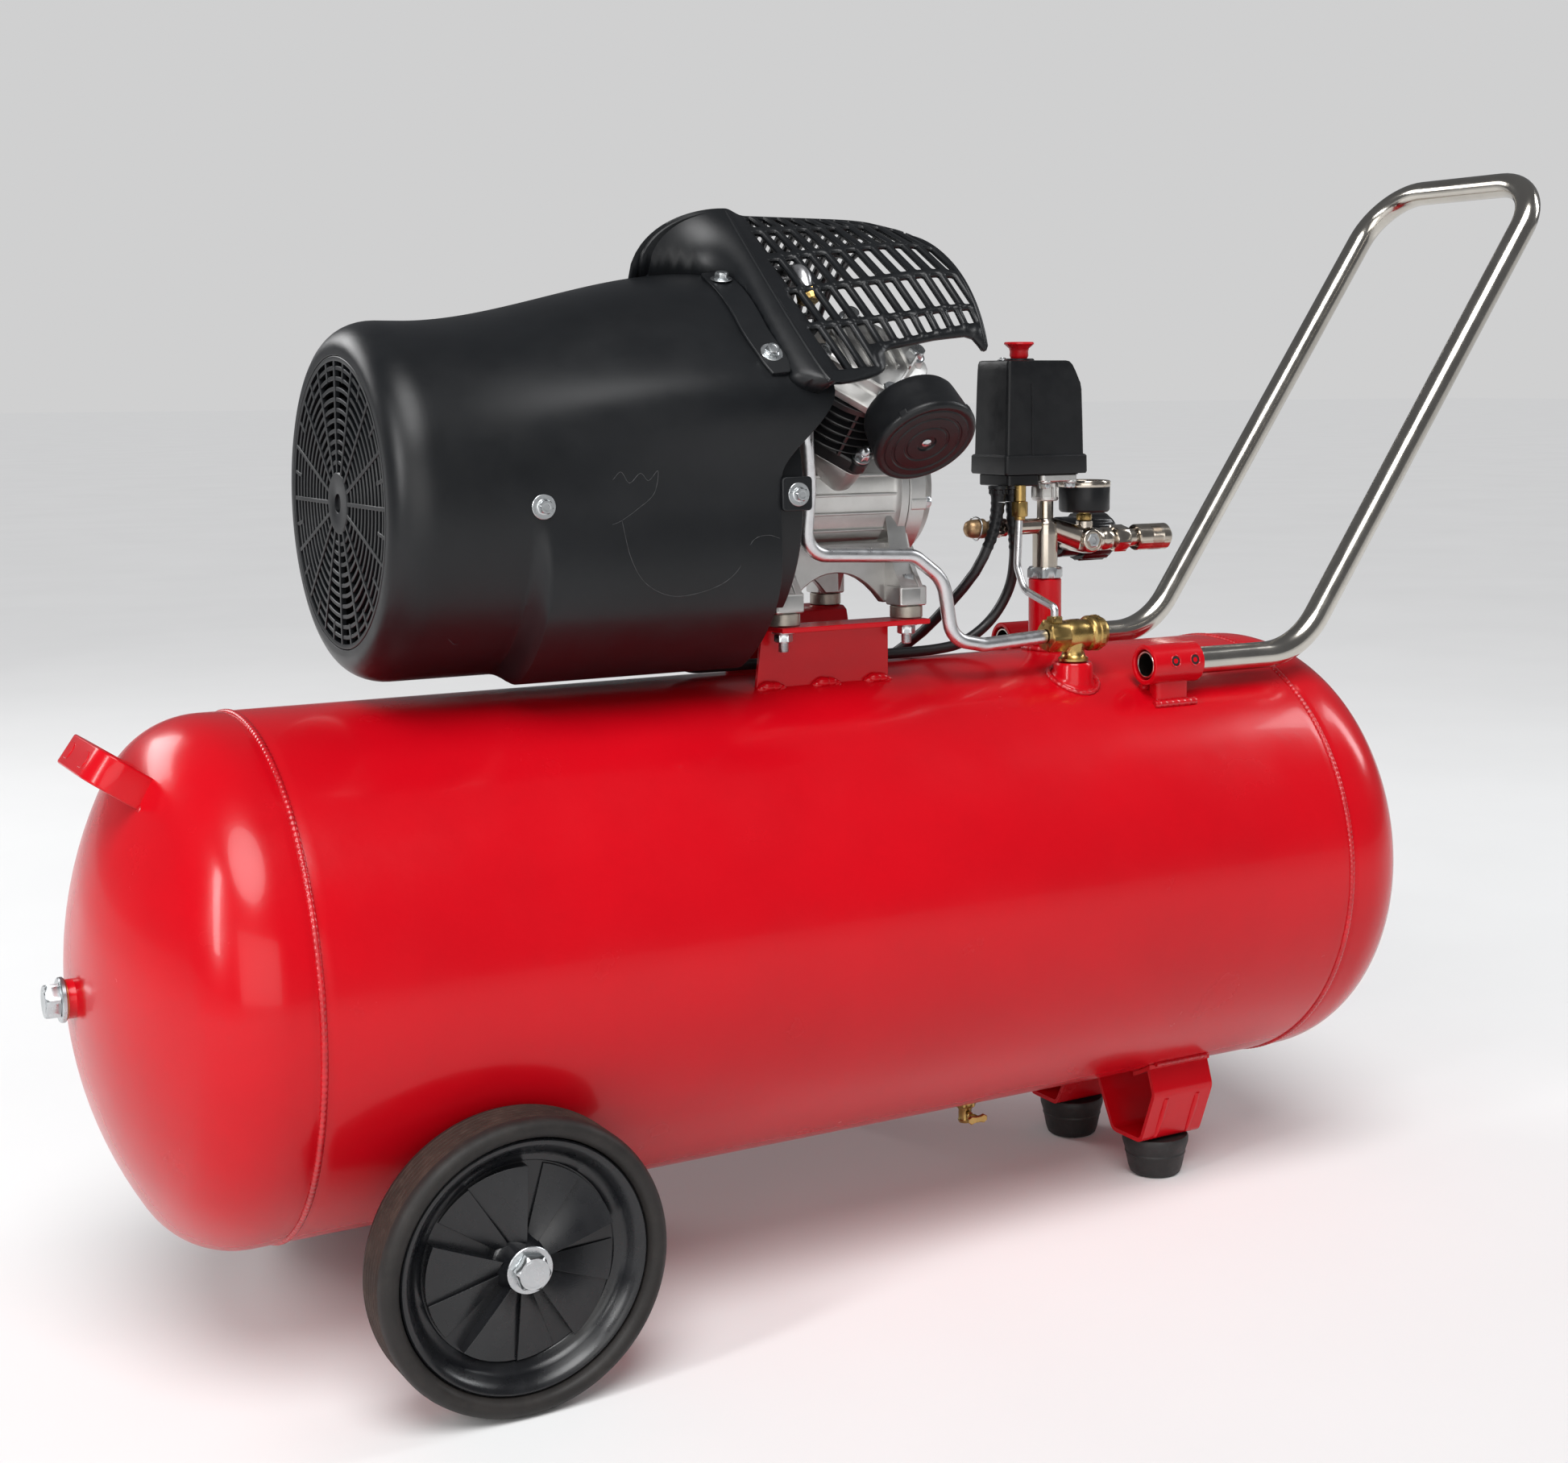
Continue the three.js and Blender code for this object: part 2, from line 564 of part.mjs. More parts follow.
const coverProfile = [[0, 0], [CASE_R + 5, 0], [CASE_R + 5, 14], [CASE_R - 6, COVER_RIGHT - CASE_RIGHT],
  [30, COVER_RIGHT - CASE_RIGHT], [26, 18], [0, 18]];
const coverRibs = Array.from({ length: 4 }, (_, k) =>
  block(24, CASE_R + 5.5, -1.2, 1.2, 12, 20).rotateZ(k * Math.PI / 2));
const cover = groupAt(pump, CASE_RIGHT + GAP, 0, 0);
cover.rotation.y = Math.PI / 2;
piece(cover, 'crankcase_cover', join(turned(coverProfile, MID_ROUND), ...coverRibs), castAluminium);

// ----------------------------------------------------------- cylinder banks
const BARREL_R = 37;
const FIN = { radius: 43, z: 92, thick: 5 };
function cylinder() {
  const base = CYLINDER_BASE + GAP;
  const neck = CYLINDER_TOP - 6;
  const barrel = turned([[BORE_R, base], [BARREL_R, base], [BARREL_R, FIN.z], [FIN.radius, FIN.z],
    [FIN.radius, FIN.z + FIN.thick], [BARREL_R, FIN.z + FIN.thick], [BARREL_R, neck], [FIN.radius - 1, neck],
    [FIN.radius - 1, CYLINDER_TOP], [BORE_R, CYLINDER_TOP], [BORE_R, base]], MID_ROUND);
  const flange = prismZ(roundedSquare(BARREL_R, 10), base, CYLINDER_BASE + 12).rotateZ(Math.PI / 4);
  return cut(join(barrel, flange), rod(BORE_R, CYLINDER_BASE - 5, CYLINDER_TOP + 5, MID_ROUND));
}

function cylinderHead() {
  const plate = prismZ(roundedSquare(42, 16), CYLINDER_TOP + GAP, CYLINDER_TOP + 11);
  const chamber = prismZ(roundedSquare(31, 10), CYLINDER_TOP + 10, HEAD_TOP - 2);
  const bosses = [0, 1, 2, 3].map((k) =>
    rod(8, CYLINDER_TOP + 9, HEAD_TOP - 6, 8).translate(37, 0, 0).rotateZ(k * Math.PI / 2));
  return join(plate, chamber, ...bosses);
}

// Gudgeon pin end and crank end of a rod that leans slightly at rest.
const pinAlong = CRANK_THROW * Math.cos(BANK_ANGLE);
const wristAlong = pinAlong + Math.sqrt(ROD_LENGTH ** 2 - pinAlong ** 2);

function connectingRod(side) {
  const half = 4.5;
  const big = rodX(14, -half, half).translate(0, -side * pinAlong, pinAlong);
  const small = rodX(8, -half, half).translate(0, 0, wristAlong);
  const gudgeon = rodX(4, -11, 11).translate(0, 0, wristAlong);
  const lean = Math.asin(pinAlong / ROD_LENGTH);
  const shank = block(-3.5, 3.5, -6, 6, 10, ROD_LENGTH - 5).rotateX(-side * lean)
    .translate(0, -side * pinAlong, pinAlong);
  const bore = rodX(8 + 2 * GAP, -half - 1, half + 1).translate(0, -side * pinAlong, pinAlong);
  return cut(join(big, small, gudgeon, shank), bore);
}

const FILTER_S = 134;            // filter axis along the cylinder
const FILTER_START = 46;
const PISTON = { skirt: 88, crown: 120, wall: 3 };
for (const { name, side, x } of BANKS) {
  const bank = groupAt(pump, x, 0, 0);
  bank.rotation.x = -side * BANK_ANGLE;
  piece(bank, `cylinder_${name}`, cylinder(), blackIron);
  piece(bank, `cylinder_head_${name}`, cylinderHead(), castAluminium);
  piece(bank, `piston_${name}`, cut(rod(PISTON_R, PISTON.skirt, PISTON.crown, MID_ROUND),
    rod(PISTON_R - PISTON.wall, PISTON.skirt - 8, PISTON.crown - 5, MID_ROUND)), bareAluminium);
  piece(bank, `connecting_rod_${name}`, connectingRod(side), castAluminium);
  const filter = groupAt(bank, 16, side * FILTER_START, FILTER_S);
  filter.rotation.x = -side * Math.PI / 2;
  const can = turned([[0, 0], [35, 0], [36, 2], [39, 32], [37, 36], [0, 36]], MID_ROUND);
  piece(filter, `air_filter_${name}`, join(can, rod(9, -4 + GAP, 1)), blackPlastic);
}

// ------------------------------------------------------------ crank and motor
const SHAFT_R = 9;
const CRANK_PIN = { radius: 8, x: 3, end: 42 };
const crankWeb = prismX([[-18, -4], [-20, -24], [20, -24], [18, -4], [9, CRANK_THROW + 9],
  [-9, CRANK_THROW + 9]], -8, 4);
const crankPin = rodX(CRANK_PIN.radius, CRANK_PIN.x, CRANK_PIN.end).translate(0, 0, CRANK_THROW);
piece(pump, 'crankshaft', join(rodX(SHAFT_R, -326, -6), crankWeb, crankPin), iron);

const STATOR = [-255, -135];
const STATOR_R = 76;
const ROTOR_R = 42;
piece(pump, 'stator', cut(rodX(STATOR_R, STATOR[0], STATOR[1], MID_ROUND),
  rodX(ROTOR_R + 1, STATOR[0] - 1, STATOR[1] + 1, MID_ROUND)), copper);
piece(pump, 'rotor', cut(rodX(ROTOR_R, STATOR[0] + 5, STATOR[1] - 5, MID_ROUND),
  rodX(SHAFT_R + GAP, STATOR[0], STATOR[1])), iron);

const FAN_X = -305;
const FAN_BLADES = 7;
function coolingFan() {
  const pitch = 0.6;
  const blades = Array.from({ length: FAN_BLADES }, (_, k) =>
    block(-11, 11, -1.5, 1.5, 22, 86).rotateZ(pitch).rotateX(k * 2 * Math.PI / FAN_BLADES));
  const hub = rodX(26, -12, 12);
  return cut(join(hub, ...blades), rodX(SHAFT_R + GAP, -20, 20));
}
piece(groupAt(pump, FAN_X, 0, 0), 'cooling_fan', coolingFan(), glossPlastic);

// ---------------------------------------------------------- shroud and guard
const ease = (t) => {
  const u = Math.min(1, Math.max(0, t));
  return u * u * (3 - 2 * u);
};

// Shroud radius at x, for an angle measured from the top.
function shroudRadius(x, angle) {
  const a = Math.abs(angle);
  const corner = Math.min(1, (x - SHROUD_LEFT) / 28);
  const barrel = SHROUD_R - 20 + 20 * Math.sqrt(Math.max(0, 1 - (1 - corner) ** 2));
  const grow = ease((x + 300) / 220);
  const roof = 36 * Math.max(0, Math.cos(a)) ** 2;
  const shoulder = 12 * Math.exp(-(((a - 1.08) / 0.31) ** 2));
  const skirt = 7 * ease((x + 252) / 14) * ease((a - 1.65) / 0.15) * ease((2.9 - a) / 0.3);
  return barrel + grow * (roof + shoulder) + skirt;
}

function shroudSection(x, inset, count = 26) {
  return Array.from({ length: count }, (_, i) => {
    const angle = (2 * Math.PI * i) / count;
    const signed = angle > Math.PI ? angle - 2 * Math.PI : angle;
    const r = shroudRadius(x, signed) - inset;
    return [x, -r * Math.sin(angle), r * Math.cos(angle)];
  });
}

const shroudStations = [SHROUD_LEFT, -342, -335, -317, -252, -238, -150, SHROUD_RIGHT];
const shroudOuter = (inset) => loft(shroudStations.map((x) => shroudSection(x, inset)));
const shroudInner = loft(shroudStations.slice(1).map((x) =>
  shroudSection(x, WALL).map(([, y, z]) => [x === SHROUD_RIGHT ? x + 1 : x, y, z])));
const LEAD_HOLE_X = -96;
const leadHole = rod(13, -150, -100).translate(LEAD_HOLE_X, 0, 0);
piece(pump, 'motor_shroud', cut(shroudOuter(0), shroudInner,
  rodX(GRILLE_R + GAP, SHROUD_LEFT - 5, SHROUD_LEFT + 7, ROUND), leadHole), blackPlastic);

const GRILLE_BACK = -341.5;
function fanGrille() {
  const bars = Array.from({ length: 3 }, (_, k) =>
    block(-344.5, -342, -2, 2, -GRILLE_R + 1, GRILLE_R - 1).rotateX(k * Math.PI / 3));
  const rings = [GRILLE_R - 1.3, 60].map((r) => toX(turned([[r - 4, SHROUD_LEFT], [r + 1, SHROUD_LEFT],
    [r + 1, GRILLE_BACK], [r - 4, GRILLE_BACK], [r - 4, SHROUD_LEFT]], ROUND)));
  return join(rodX(22, SHROUD_LEFT, GRILLE_BACK), ...bars, ...rings);
}
piece(pump, 'fan_grille', fanGrille(), blackPlastic);

// The guard's arch: roof-like at its crest, rounder at its open end, and a dome at its motor end.
const GUARD = { dome: -126, crest: -46, right: 101, base: 81, rise: 125, half: 144, taper: 10, peak: 0.5 };
function guardSection(x, inset) {
  const reach = Math.max(0, (GUARD.crest - x) / (GUARD.crest - GUARD.dome));
  const along = Math.max(0, (x - GUARD.crest) / (GUARD.right - GUARD.crest));
  const scale = Math.sqrt(Math.max(0.02, 1 - reach ** 2));
  const half = (GUARD.half - GUARD.taper * along) * scale - inset;
  const rise = GUARD.rise * (0.45 + 0.55 * scale) - inset;
  const power = 1 + GUARD.peak * (1 - along);
  const points = [];
  for (let i = 0; i <= 14; i += 1) {
    const a = Math.PI * i / 14;
    const across = Math.sign(Math.cos(a)) * Math.abs(Math.cos(a)) ** power;
    points.push([x, half * across, GUARD.base + rise * Math.max(0, Math.sin(a)) ** power]);
  }
  points.push([x, -half, GUARD.base - 12], [x, half, GUARD.base - 12]);
  return points;
}
const guardStations = [GUARD.dome, -116, -92, -68, GUARD.crest, 0, 50, GUARD.right];
const guardInner = guardStations.map((x, i) => {
  const push = [WALL, ...Array(guardStations.length - 2).fill(0), 1][i];
  return guardSection(x, WALL).map(([, y, z]) => [x + push, y, z < GUARD.base ? z - 1 : z]);
});
const WIDE = 200;                // wider than the guard
const guard = cut(loft(guardStations.map((x) => guardSection(x, 0))), loft(guardInner),
  shroudOuter(-GAP),
  block(-WIDE, SHROUD_RIGHT - 1, -WIDE, WIDE, 0, GUARD.base - 4),
  block(SHROUD_RIGHT - 2, 6, -WIDE, WIDE, 0, GUARD.base),
  block(5, WIDE, -WIDE, WIDE, 0, GUARD.base + 28));
piece(pump, 'head_guard', guard, blackPlastic);

// ------------------------------------------------------------------ air pipes
const PIPE_R = 5.5;
const dischargeRoute = [[-33, -98, 642], [-33, -97, 616], [-11, -90, 582], [-11, VALVE_Y - 5, 531],
  [70, VALVE_Y - 1, 526], [98, VALVE_Y - 1, 508], [106, VALVE_Y, 462], [135, VALVE_Y, 456],
  [192, VALVE_Y, VALVE_Z]];
const dischargeBends = [16, 16, 20, 22, 30, 20, 20];
piece(machine, 'discharge_tube', bentTube(dischargeRoute, dischargeBends, PIPE_R, 8), bareAluminium);
const crossRoute = [[-14, -70, 716], [-14, -60, 738], [-14, 60, 738], [-14, 70, 716]];
piece(machine, 'crossover_tube', bentTube(crossRoute, [12, 12], PIPE_R, 8), bareAluminium);

const valve = groupAt(machine, VALVE_X, VALVE_Y, VALVE_Z);
piece(valve, 'check_valve', cut(join(
  rod(10, VALVE_BOSS_TOP - VALVE_Z + GAP, 0), rod(VALVE_BORE_R - 0.5, -28, 0), rodX(12, -8, 18),
  rodX(14, 12, 27),
  rodX(13, -27, -7, 6), block(-24, -12, -6, 6, 4, 15)), rodX(PIPE_R + GAP, -30, -20)), brass);

const unloaderRoute = [[204, -22, 561.5], [200, -24, 510], [200, -34, 492], [202, VALVE_Y, 481],
  [202, VALVE_Y, VALVE_Z + 15 + GAP]];
const UNLOADER_R = 3;
piece(machine, 'unloader_tube', bentTube(unloaderRoute, [16, 16, 4], UNLOADER_R, 8), bareAluminium);

// --------------------------------------------------------------- air controls
const tower = groupAt(machine, RISER_X, 0, 0);
const reach = OUTLET_X - RISER_X;
const MANIFOLD_TOP = 576 - GAP;
const NIPPLE_R = 7.6;
const GAUGE_Z = 543;
const outletArm = rodX(8, 0, reach, SMALL_ROUND, 10)
  .rotateY(Math.atan2(MANIFOLD_Z - OUTLET_Z, reach))
  .translate(0, 0, MANIFOLD_Z);
const couplerBody = cut(rodX(NIPPLE_R, reach + 40, 126), rodX(4.8, reach + 60, 130));
piece(tower, 'manifold', join(
  rod(14, RISER_TOP + GAP, RISER_TOP + 9, 6),
  rod(10.2, RISER_TOP + 5, MANIFOLD_Z + 4),
  rod(6.8, MANIFOLD_Z, MANIFOLD_TOP - 13),
  rod(11, MANIFOLD_TOP - 14, MANIFOLD_TOP, 6),
  rodX(6.5, -54, 0).translate(0, 0, MANIFOLD_Z),
  rodX(8, -54, -44, 6).translate(0, 0, MANIFOLD_Z),
  outletArm,
  rodY(10, -13, 26).translate(reach, 0, OUTLET_Z),
  rod(6.5, OUTLET_Z, GAUGE_Z).translate(reach, 0, 0),
  rodX(9.5, reach, reach + 28).translate(0, 0, OUTLET_Z),
  rodX(11.5, reach + 28, reach + 42, 6).translate(0, 0, OUTLET_Z),
  couplerBody.translate(0, 0, OUTLET_Z),
  rodX(17, 38, 58).translate(0, 38, OUTLET_Z)), nickel);
piece(tower, 'coupler_sleeve',
  cut(rodX(11, 91, 124), rodX(NIPPLE_R + GAP, 80, 130)).translate(0, 0, OUTLET_Z), nickel);
piece(tower, 'safety_valve_pull',
  join(rodX(6, -78, -54 - GAP), rodX(8, -64, -60)).translate(0, 0, MANIFOLD_Z), brass);
piece(tower, 'regulator_knob', join(rodX(21, 58 + GAP, 86), rodX(17, 85, 92)).translate(0, 38, OUTLET_Z),
  glossPlastic);
piece(groupAt(tower, reach, 0, GAUGE_Z + GAP), 'gauge', join(rod(7, 0, 8, 6),
  turned([[0, 7], [20.5, 7], [21.5, 9], [21.5, 33], [0, 33]], MID_ROUND)), glossPlastic);

// ------------------------------------------------------------ pressure switch
const SWITCH_X = 228;
const SWITCH_BASE = 574;
const SWITCH_SEAM = 583;
const KNOB_X = -10;
const box = groupAt(machine, SWITCH_X, 0, 0);
piece(box, 'switch_flange', join(block(-4, 32, -24, 24, SWITCH_BASE + 3, SWITCH_SEAM),
  rod(12, SWITCH_BASE + 2, SWITCH_BASE + 4, 6).translate(RISER_X - SWITCH_X, 0, 0)), castAluminium);
piece(box, 'switch_base', join(block(-39, -4 - GAP, -24, 24, SWITCH_BASE, SWITCH_SEAM),
  block(-38, -8, -18, 18, SWITCH_BASE - 12, SWITCH_BASE + 1)), blackPlastic);

function switchCover() {
  const depth = 51;
  const front = [[-39.5, SWITCH_SEAM + GAP], [39.5, SWITCH_SEAM + GAP], [38.5, 600], [35, 652], [25, 674],
    [-36, 674], [-38.5, 600]];
  const basis = new THREE.Matrix4().makeBasis(
    new THREE.Vector3(1, 0, 0), new THREE.Vector3(0, 0, 1), new THREE.Vector3(0, -1, 0));
  const shell = extrude(shapeOf(front), depth).applyMatrix4(basis).translate(0, depth / 2, 0);
  return cut(shell, block(-36, 33, -22, 22, SWITCH_SEAM - 3, 650), rod(7, 640, 690).translate(KNOB_X, 0, 0));
}
piece(box, 'switch_cover', switchCover(), blackPlastic);
piece(groupAt(box, KNOB_X, 0, 0), 'switch_knob', join(rod(5.5, 655, 680), rod(6, 675, 688, SMALL_ROUND, 12)),
  redPlastic);

// --------------------------------------------------------------------- handle
function handle() {
  const side = (s) => [[SOCKET[0] + 2, s * HANDLE_Y, HANDLE_Z], [HANDLE_KNEE_X, s * HANDLE_Y, HANDLE_Z],
    [HANDLE_TOP[0], s * HANDLE_Y, HANDLE_TOP[1]]];
  const route = [...side(-1), ...side(1).reverse()];
  const bar = bentTube(route, HANDLE_BENDS, HANDLE_R, 12);
  const mouths = [-1, 1].map((s) =>
    rodX(HANDLE_R - 2, SOCKET[0], SOCKET[0] + 60, 12).translate(0, s * HANDLE_Y, HANDLE_Z));
  return cut(bar, ...mouths);
}
piece(machine, 'handle', handle(), steelTube);

// ---------------------------------------------------------------------- leads
const motorRoute = [[202, -14, 561.5], [203, -14.5, 540], [206, -11, 515], [206, -3, 490], [194, 4, 466],
  [170, 5, 450], [140, 2, 445], [90, 0, 444.5], [40, 0, 444.5], [-10, 0, 444.5], [-60, 0, 445],
  [-80, 0, 446], [-92, 0, 453], [-96, 0, 466], [-96, 0, 490]];
piece(machine, 'motor_lead', tube(smooth(motorRoute), LEAD_R, 28, 8), rubber);

const cords = groupAt(assembly, 0, 0, 0);
const mainsRoute = [[189, -13, 561.5], [187, -13, 548], [181, -13, 530], [171, -7, 506], [159, 12, 480],
  [149, 38, 455], [142, 68, 436], [139, 100, 418], [138, 132, 390], [137, 162, 352], [137, 181, 305],
  [138, 188, 250], [139, 195, 200], [140, 203, 150], [140, 212, 100], [140, 224, 54], [140, 240, 22],
  [140, 258, 7], [140, 272, LEAD_R + GAP], [140, 287, LEAD_R + GAP]];
piece(cords, 'mains_lead', tube(smooth(mainsRoute), LEAD_R, 44, 8), rubber);

const coilHalf = LEAD_R * COIL_TURNS_WIDE;
const coilHeight = 2 * LEAD_R * COIL_TURNS_HIGH;
piece(groupAt(cords, COIL_CENTRE[0], COIL_CENTRE[1], GAP), 'mains_coil', turned([
  [COIL_MID_R - coilHalf, 0], [COIL_MID_R + coilHalf, 0], [COIL_MID_R + coilHalf, coilHeight],
  [COIL_MID_R - coilHalf, coilHeight], [COIL_MID_R - coilHalf, 0]], MID_ROUND), rubber);

// Mains plug lying on the floor with its pins up.
const plug = groupAt(cords, 36, 243, GAP);
const PIN_TOP = 24;
const pins = [[0, -12], [-11, 8], [11, 8]].map(([x, y]) => block(x - 3, x + 3, y - 2, y + 2, 19, PIN_TOP));
piece(plug, 'mains_plug', join(prismZ(roundedSquare(24, 8), 0, 20), rodY(5.5, 20, 46).translate(0, 0, 13),
  ...pins), rubber);

// The origin goes under the middle of the machine, on the ground.
const bounds = new THREE.Box3().setFromObject(machine, true);
const middle = bounds.getCenter(new THREE.Vector3());
assembly.position.set(-middle.x, -middle.y, -bounds.min.z);

export default assembly;
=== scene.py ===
import math

import bmesh
import bpy
from mathutils import Matrix, Vector, geometry


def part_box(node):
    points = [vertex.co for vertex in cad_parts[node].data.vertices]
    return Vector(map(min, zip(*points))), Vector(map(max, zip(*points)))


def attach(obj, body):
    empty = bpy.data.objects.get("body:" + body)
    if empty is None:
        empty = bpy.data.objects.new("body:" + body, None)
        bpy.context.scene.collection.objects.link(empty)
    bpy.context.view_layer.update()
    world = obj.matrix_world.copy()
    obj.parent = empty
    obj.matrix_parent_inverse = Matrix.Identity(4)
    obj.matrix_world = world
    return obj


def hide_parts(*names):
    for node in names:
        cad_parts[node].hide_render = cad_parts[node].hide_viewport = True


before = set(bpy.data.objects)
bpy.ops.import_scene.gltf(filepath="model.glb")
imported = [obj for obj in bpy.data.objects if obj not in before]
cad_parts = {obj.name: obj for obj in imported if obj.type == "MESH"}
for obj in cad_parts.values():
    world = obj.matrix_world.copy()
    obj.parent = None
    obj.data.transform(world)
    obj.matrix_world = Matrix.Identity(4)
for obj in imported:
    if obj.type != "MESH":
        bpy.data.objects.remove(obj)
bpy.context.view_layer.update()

# Everything below is drawn in millimetres, with x from the middle of the tank's shell, and goes
# into the frame in metres. The near tyre says where that middle is.
WHEEL_X, WHEEL_Y, WHEEL_R = -302.6, 192.0, 98.0
low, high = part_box("tyre_near")
TO_FRAME = (Matrix.Translation(((low.x + high.x) / 2 - WHEEL_X / 1000, 0, 0))
            @ Matrix.Scale(0.001, 4))


# ---------------------------------------------------------------- camera and light
def create_camera():
    data = bpy.data.cameras.new("camera")
    data.sensor_width = 36.0
    data.lens = 51.84
    data.shift_x = -0.0677
    data.shift_y = -0.0672
    data.clip_start = 0.05
    camera = bpy.data.objects.new("camera", data)
    bpy.context.scene.collection.objects.link(camera)
    yaw, pitch, roll = math.radians(31.22), math.radians(-6.148), math.radians(-0.29)
    forward = Vector((math.sin(yaw) * math.cos(pitch), math.cos(yaw) * math.cos(pitch),
                      math.sin(pitch)))
    right = forward.cross(Vector((0, 0, 1))).normalized()
    up = right.cross(forward)
    side = right * math.cos(roll) + up * math.sin(roll)
    top = up * math.cos(roll) - right * math.sin(roll)
    camera.matrix_world = Matrix((
        (side.x, top.x, -forward.x, -0.90477),
        (side.y, top.y, -forward.y, -1.51231),
        (side.z, top.z, -forward.z, 0.65677),
        (0, 0, 0, 1)))
    bpy.context.scene.camera = camera


def area_light(name, place, target, size, power, colour=(1, 1, 1)):
    data = bpy.data.lights.new(name, "AREA")
    data.shape = "RECTANGLE"
    data.size, data.size_y = size
    data.energy = power
    data.color = colour
    light = bpy.data.objects.new(name, data)
    light.location = place
    aim = Vector(target) - Vector(place)
    light.rotation_euler = aim.to_track_quat("-Z", "Y").to_euler()
    bpy.context.scene.collection.objects.link(light)


create_camera()


# ---------------------------------------------------------------- materials
class Nodes:
    """A small wrapper that makes and links the nodes of one material."""

    def __init__(self, name):
        self.material = bpy.data.materials.new(name)
        self.material.use_nodes = True
        self.tree = self.material.node_tree
        self.shader = self.tree.nodes["Principled BSDF"]
        self.where = self.tree.nodes.new("ShaderNodeTexCoord").outputs["Object"]

    def add(self, kind, **settings):
        node = self.tree.nodes.new("ShaderNode" + kind)
        for key, value in settings.items():
            setattr(node, key, value)
        return node

    def link(self, output, socket):
        self.tree.links.new(output, socket)

    def noise(self, scale, detail=4.0, stretch=None, roughness=0.55):
        place = self.where
        if stretch:
            mapping = self.add("Mapping")
            mapping.inputs["Scale"].default_value = stretch
            self.link(place, mapping.inputs["Vector"])
            place = mapping.outputs["Vector"]
        node = self.add("TexNoise")
        node.inputs["Scale"].default_value = scale
        node.inputs["Detail"].default_value = detail
        node.inputs["Roughness"].default_value = roughness
        self.link(place, node.inputs["Vector"])
        return node.outputs["Fac"]

    def spread(self, value, low, high, start=0.3, end=0.7):
        node = self.add("MapRange")
        node.inputs["From Min"].default_value = start
        node.inputs["From Max"].default_value = end
        node.inputs["To Min"].default_value = low
        node.inputs["To Max"].default_value = high
        self.link(value, node.inputs["Value"])
        return node.outputs["Result"]

    def mix(self, factor, first, second):
        node = self.add("Mix", data_type="RGBA")
        self.link(factor, node.inputs["Factor"])
        for socket, value in ((node.inputs[6], first), (node.inputs[7], second)):
            if isinstance(value, tuple):
                socket.default_value = (*value, 1)
            else:
                self.link(value, socket)
        return node.outputs[2]

    def bump(self, height, strength, distance, before=None):
        node = self.add("Bump")
        node.inputs["Strength"].default_value = strength
        node.inputs["Distance"].default_value = distance
        self.link(height, node.inputs["Height"])
        if before:
            self.link(before, node.inputs["Normal"])
        return node.outputs["Normal"]


def surface(name, colour, roughness, metallic=0.0, vary=0.25, patch=14.0, rough_spread=0.08,
            grain=900.0, grain_height=0.00004, grain_stretch=None, coat=0.0, dust=None,
            specular=0.5, wave=None, wear=None):
    """A finish with patchy colour, uneven gloss and a fine grain, all from noise."""
    n = Nodes(name)
    patches = n.spread(n.noise(patch, 6.0), 0.0, 1.0)
    dark = tuple(c * (1 - vary) for c in colour)
    light = tuple(min(1.0, c * (1 + vary * 0.6)) for c in colour)
    tint = n.mix(patches, dark, light)
    if dust:
        amount, dust_colour = dust
        tint = n.mix(n.spread(n.noise(patch * 4.3, 8.0, roughness=0.7), 0.0, amount, 0.48, 0.78),
                     tint, dust_colour)
    if wear:
        amount, wear_colour = wear
        edges = n.add("NewGeometry").outputs["Pointiness"]
        tint = n.mix(n.spread(edges, 0.0, amount, 0.52, 0.60), tint, wear_colour)
    n.link(tint, n.shader.inputs["Base Color"])
    blotches = n.noise(patch * 2.7, 5.0)
    n.link(n.spread(blotches, max(0.02, roughness - rough_spread), roughness + rough_spread),
           n.shader.inputs["Roughness"])
    normal = n.bump(n.noise(grain, 3.0, grain_stretch), 1.0, grain_height)
    if wave:
        wave_scale, wave_height = wave
        normal = n.bump(n.noise(wave_scale, 2.0), 1.0, wave_height, normal)
    n.link(normal, n.shader.inputs["Normal"])
    n.shader.inputs["Metallic"].default_value = metallic
    n.shader.inputs["Specular IOR Level"].default_value = specular
    if coat:
        n.shader.inputs["Coat Weight"].default_value = coat
        n.shader.inputs["Coat Roughness"].default_value = 0.06
    return n.material


RED = surface("red_powder_coat", (0.50, 0.0015, 0.007), 0.24, vary=0.08, patch=6.0,
              rough_spread=0.04, grain=260.0, grain_height=0.00004, coat=0.14, wave=(22.0, 0.0003),
              dust=(0.10, (0.30, 0.002, 0.005)), specular=0.24)
WELD_RED = surface("red_paint_on_weld", (0.46, 0.003, 0.009), 0.30, vary=0.2, patch=60.0,
                   grain=500.0, grain_height=0.00004, coat=0.4, specular=0.4)
RED_PLASTIC = surface("red_moulding", (0.55, 0.005, 0.010), 0.33, vary=0.08, patch=30.0, specular=0.4)
BLACK_MOULDING = surface("black_shroud_moulding", (0.0055, 0.0063, 0.0075), 0.36, vary=0.22,
                         patch=9.0, grain=2600.0, grain_height=0.00005, rough_spread=0.05,
                         dust=(0.08, (0.025, 0.027, 0.030)), specular=0.34)
BLACK_PLASTIC = surface("black_plastic", (0.0065, 0.007, 0.008), 0.36, vary=0.2, patch=25.0,
                        grain=2200.0, grain_height=0.00004, dust=(0.08, (0.03, 0.03, 0.03)), specular=0.3)
RIM_PLASTIC = surface("wheel_moulding", (0.0075, 0.008, 0.0095), 0.28, vary=0.25, patch=22.0,
                      grain=1500.0, grain_height=0.00005, dust=(0.10, (0.03, 0.029, 0.028)))
GLOSS_BLACK = surface("gloss_black", (0.008, 0.008, 0.009), 0.18, vary=0.1, patch=30.0)
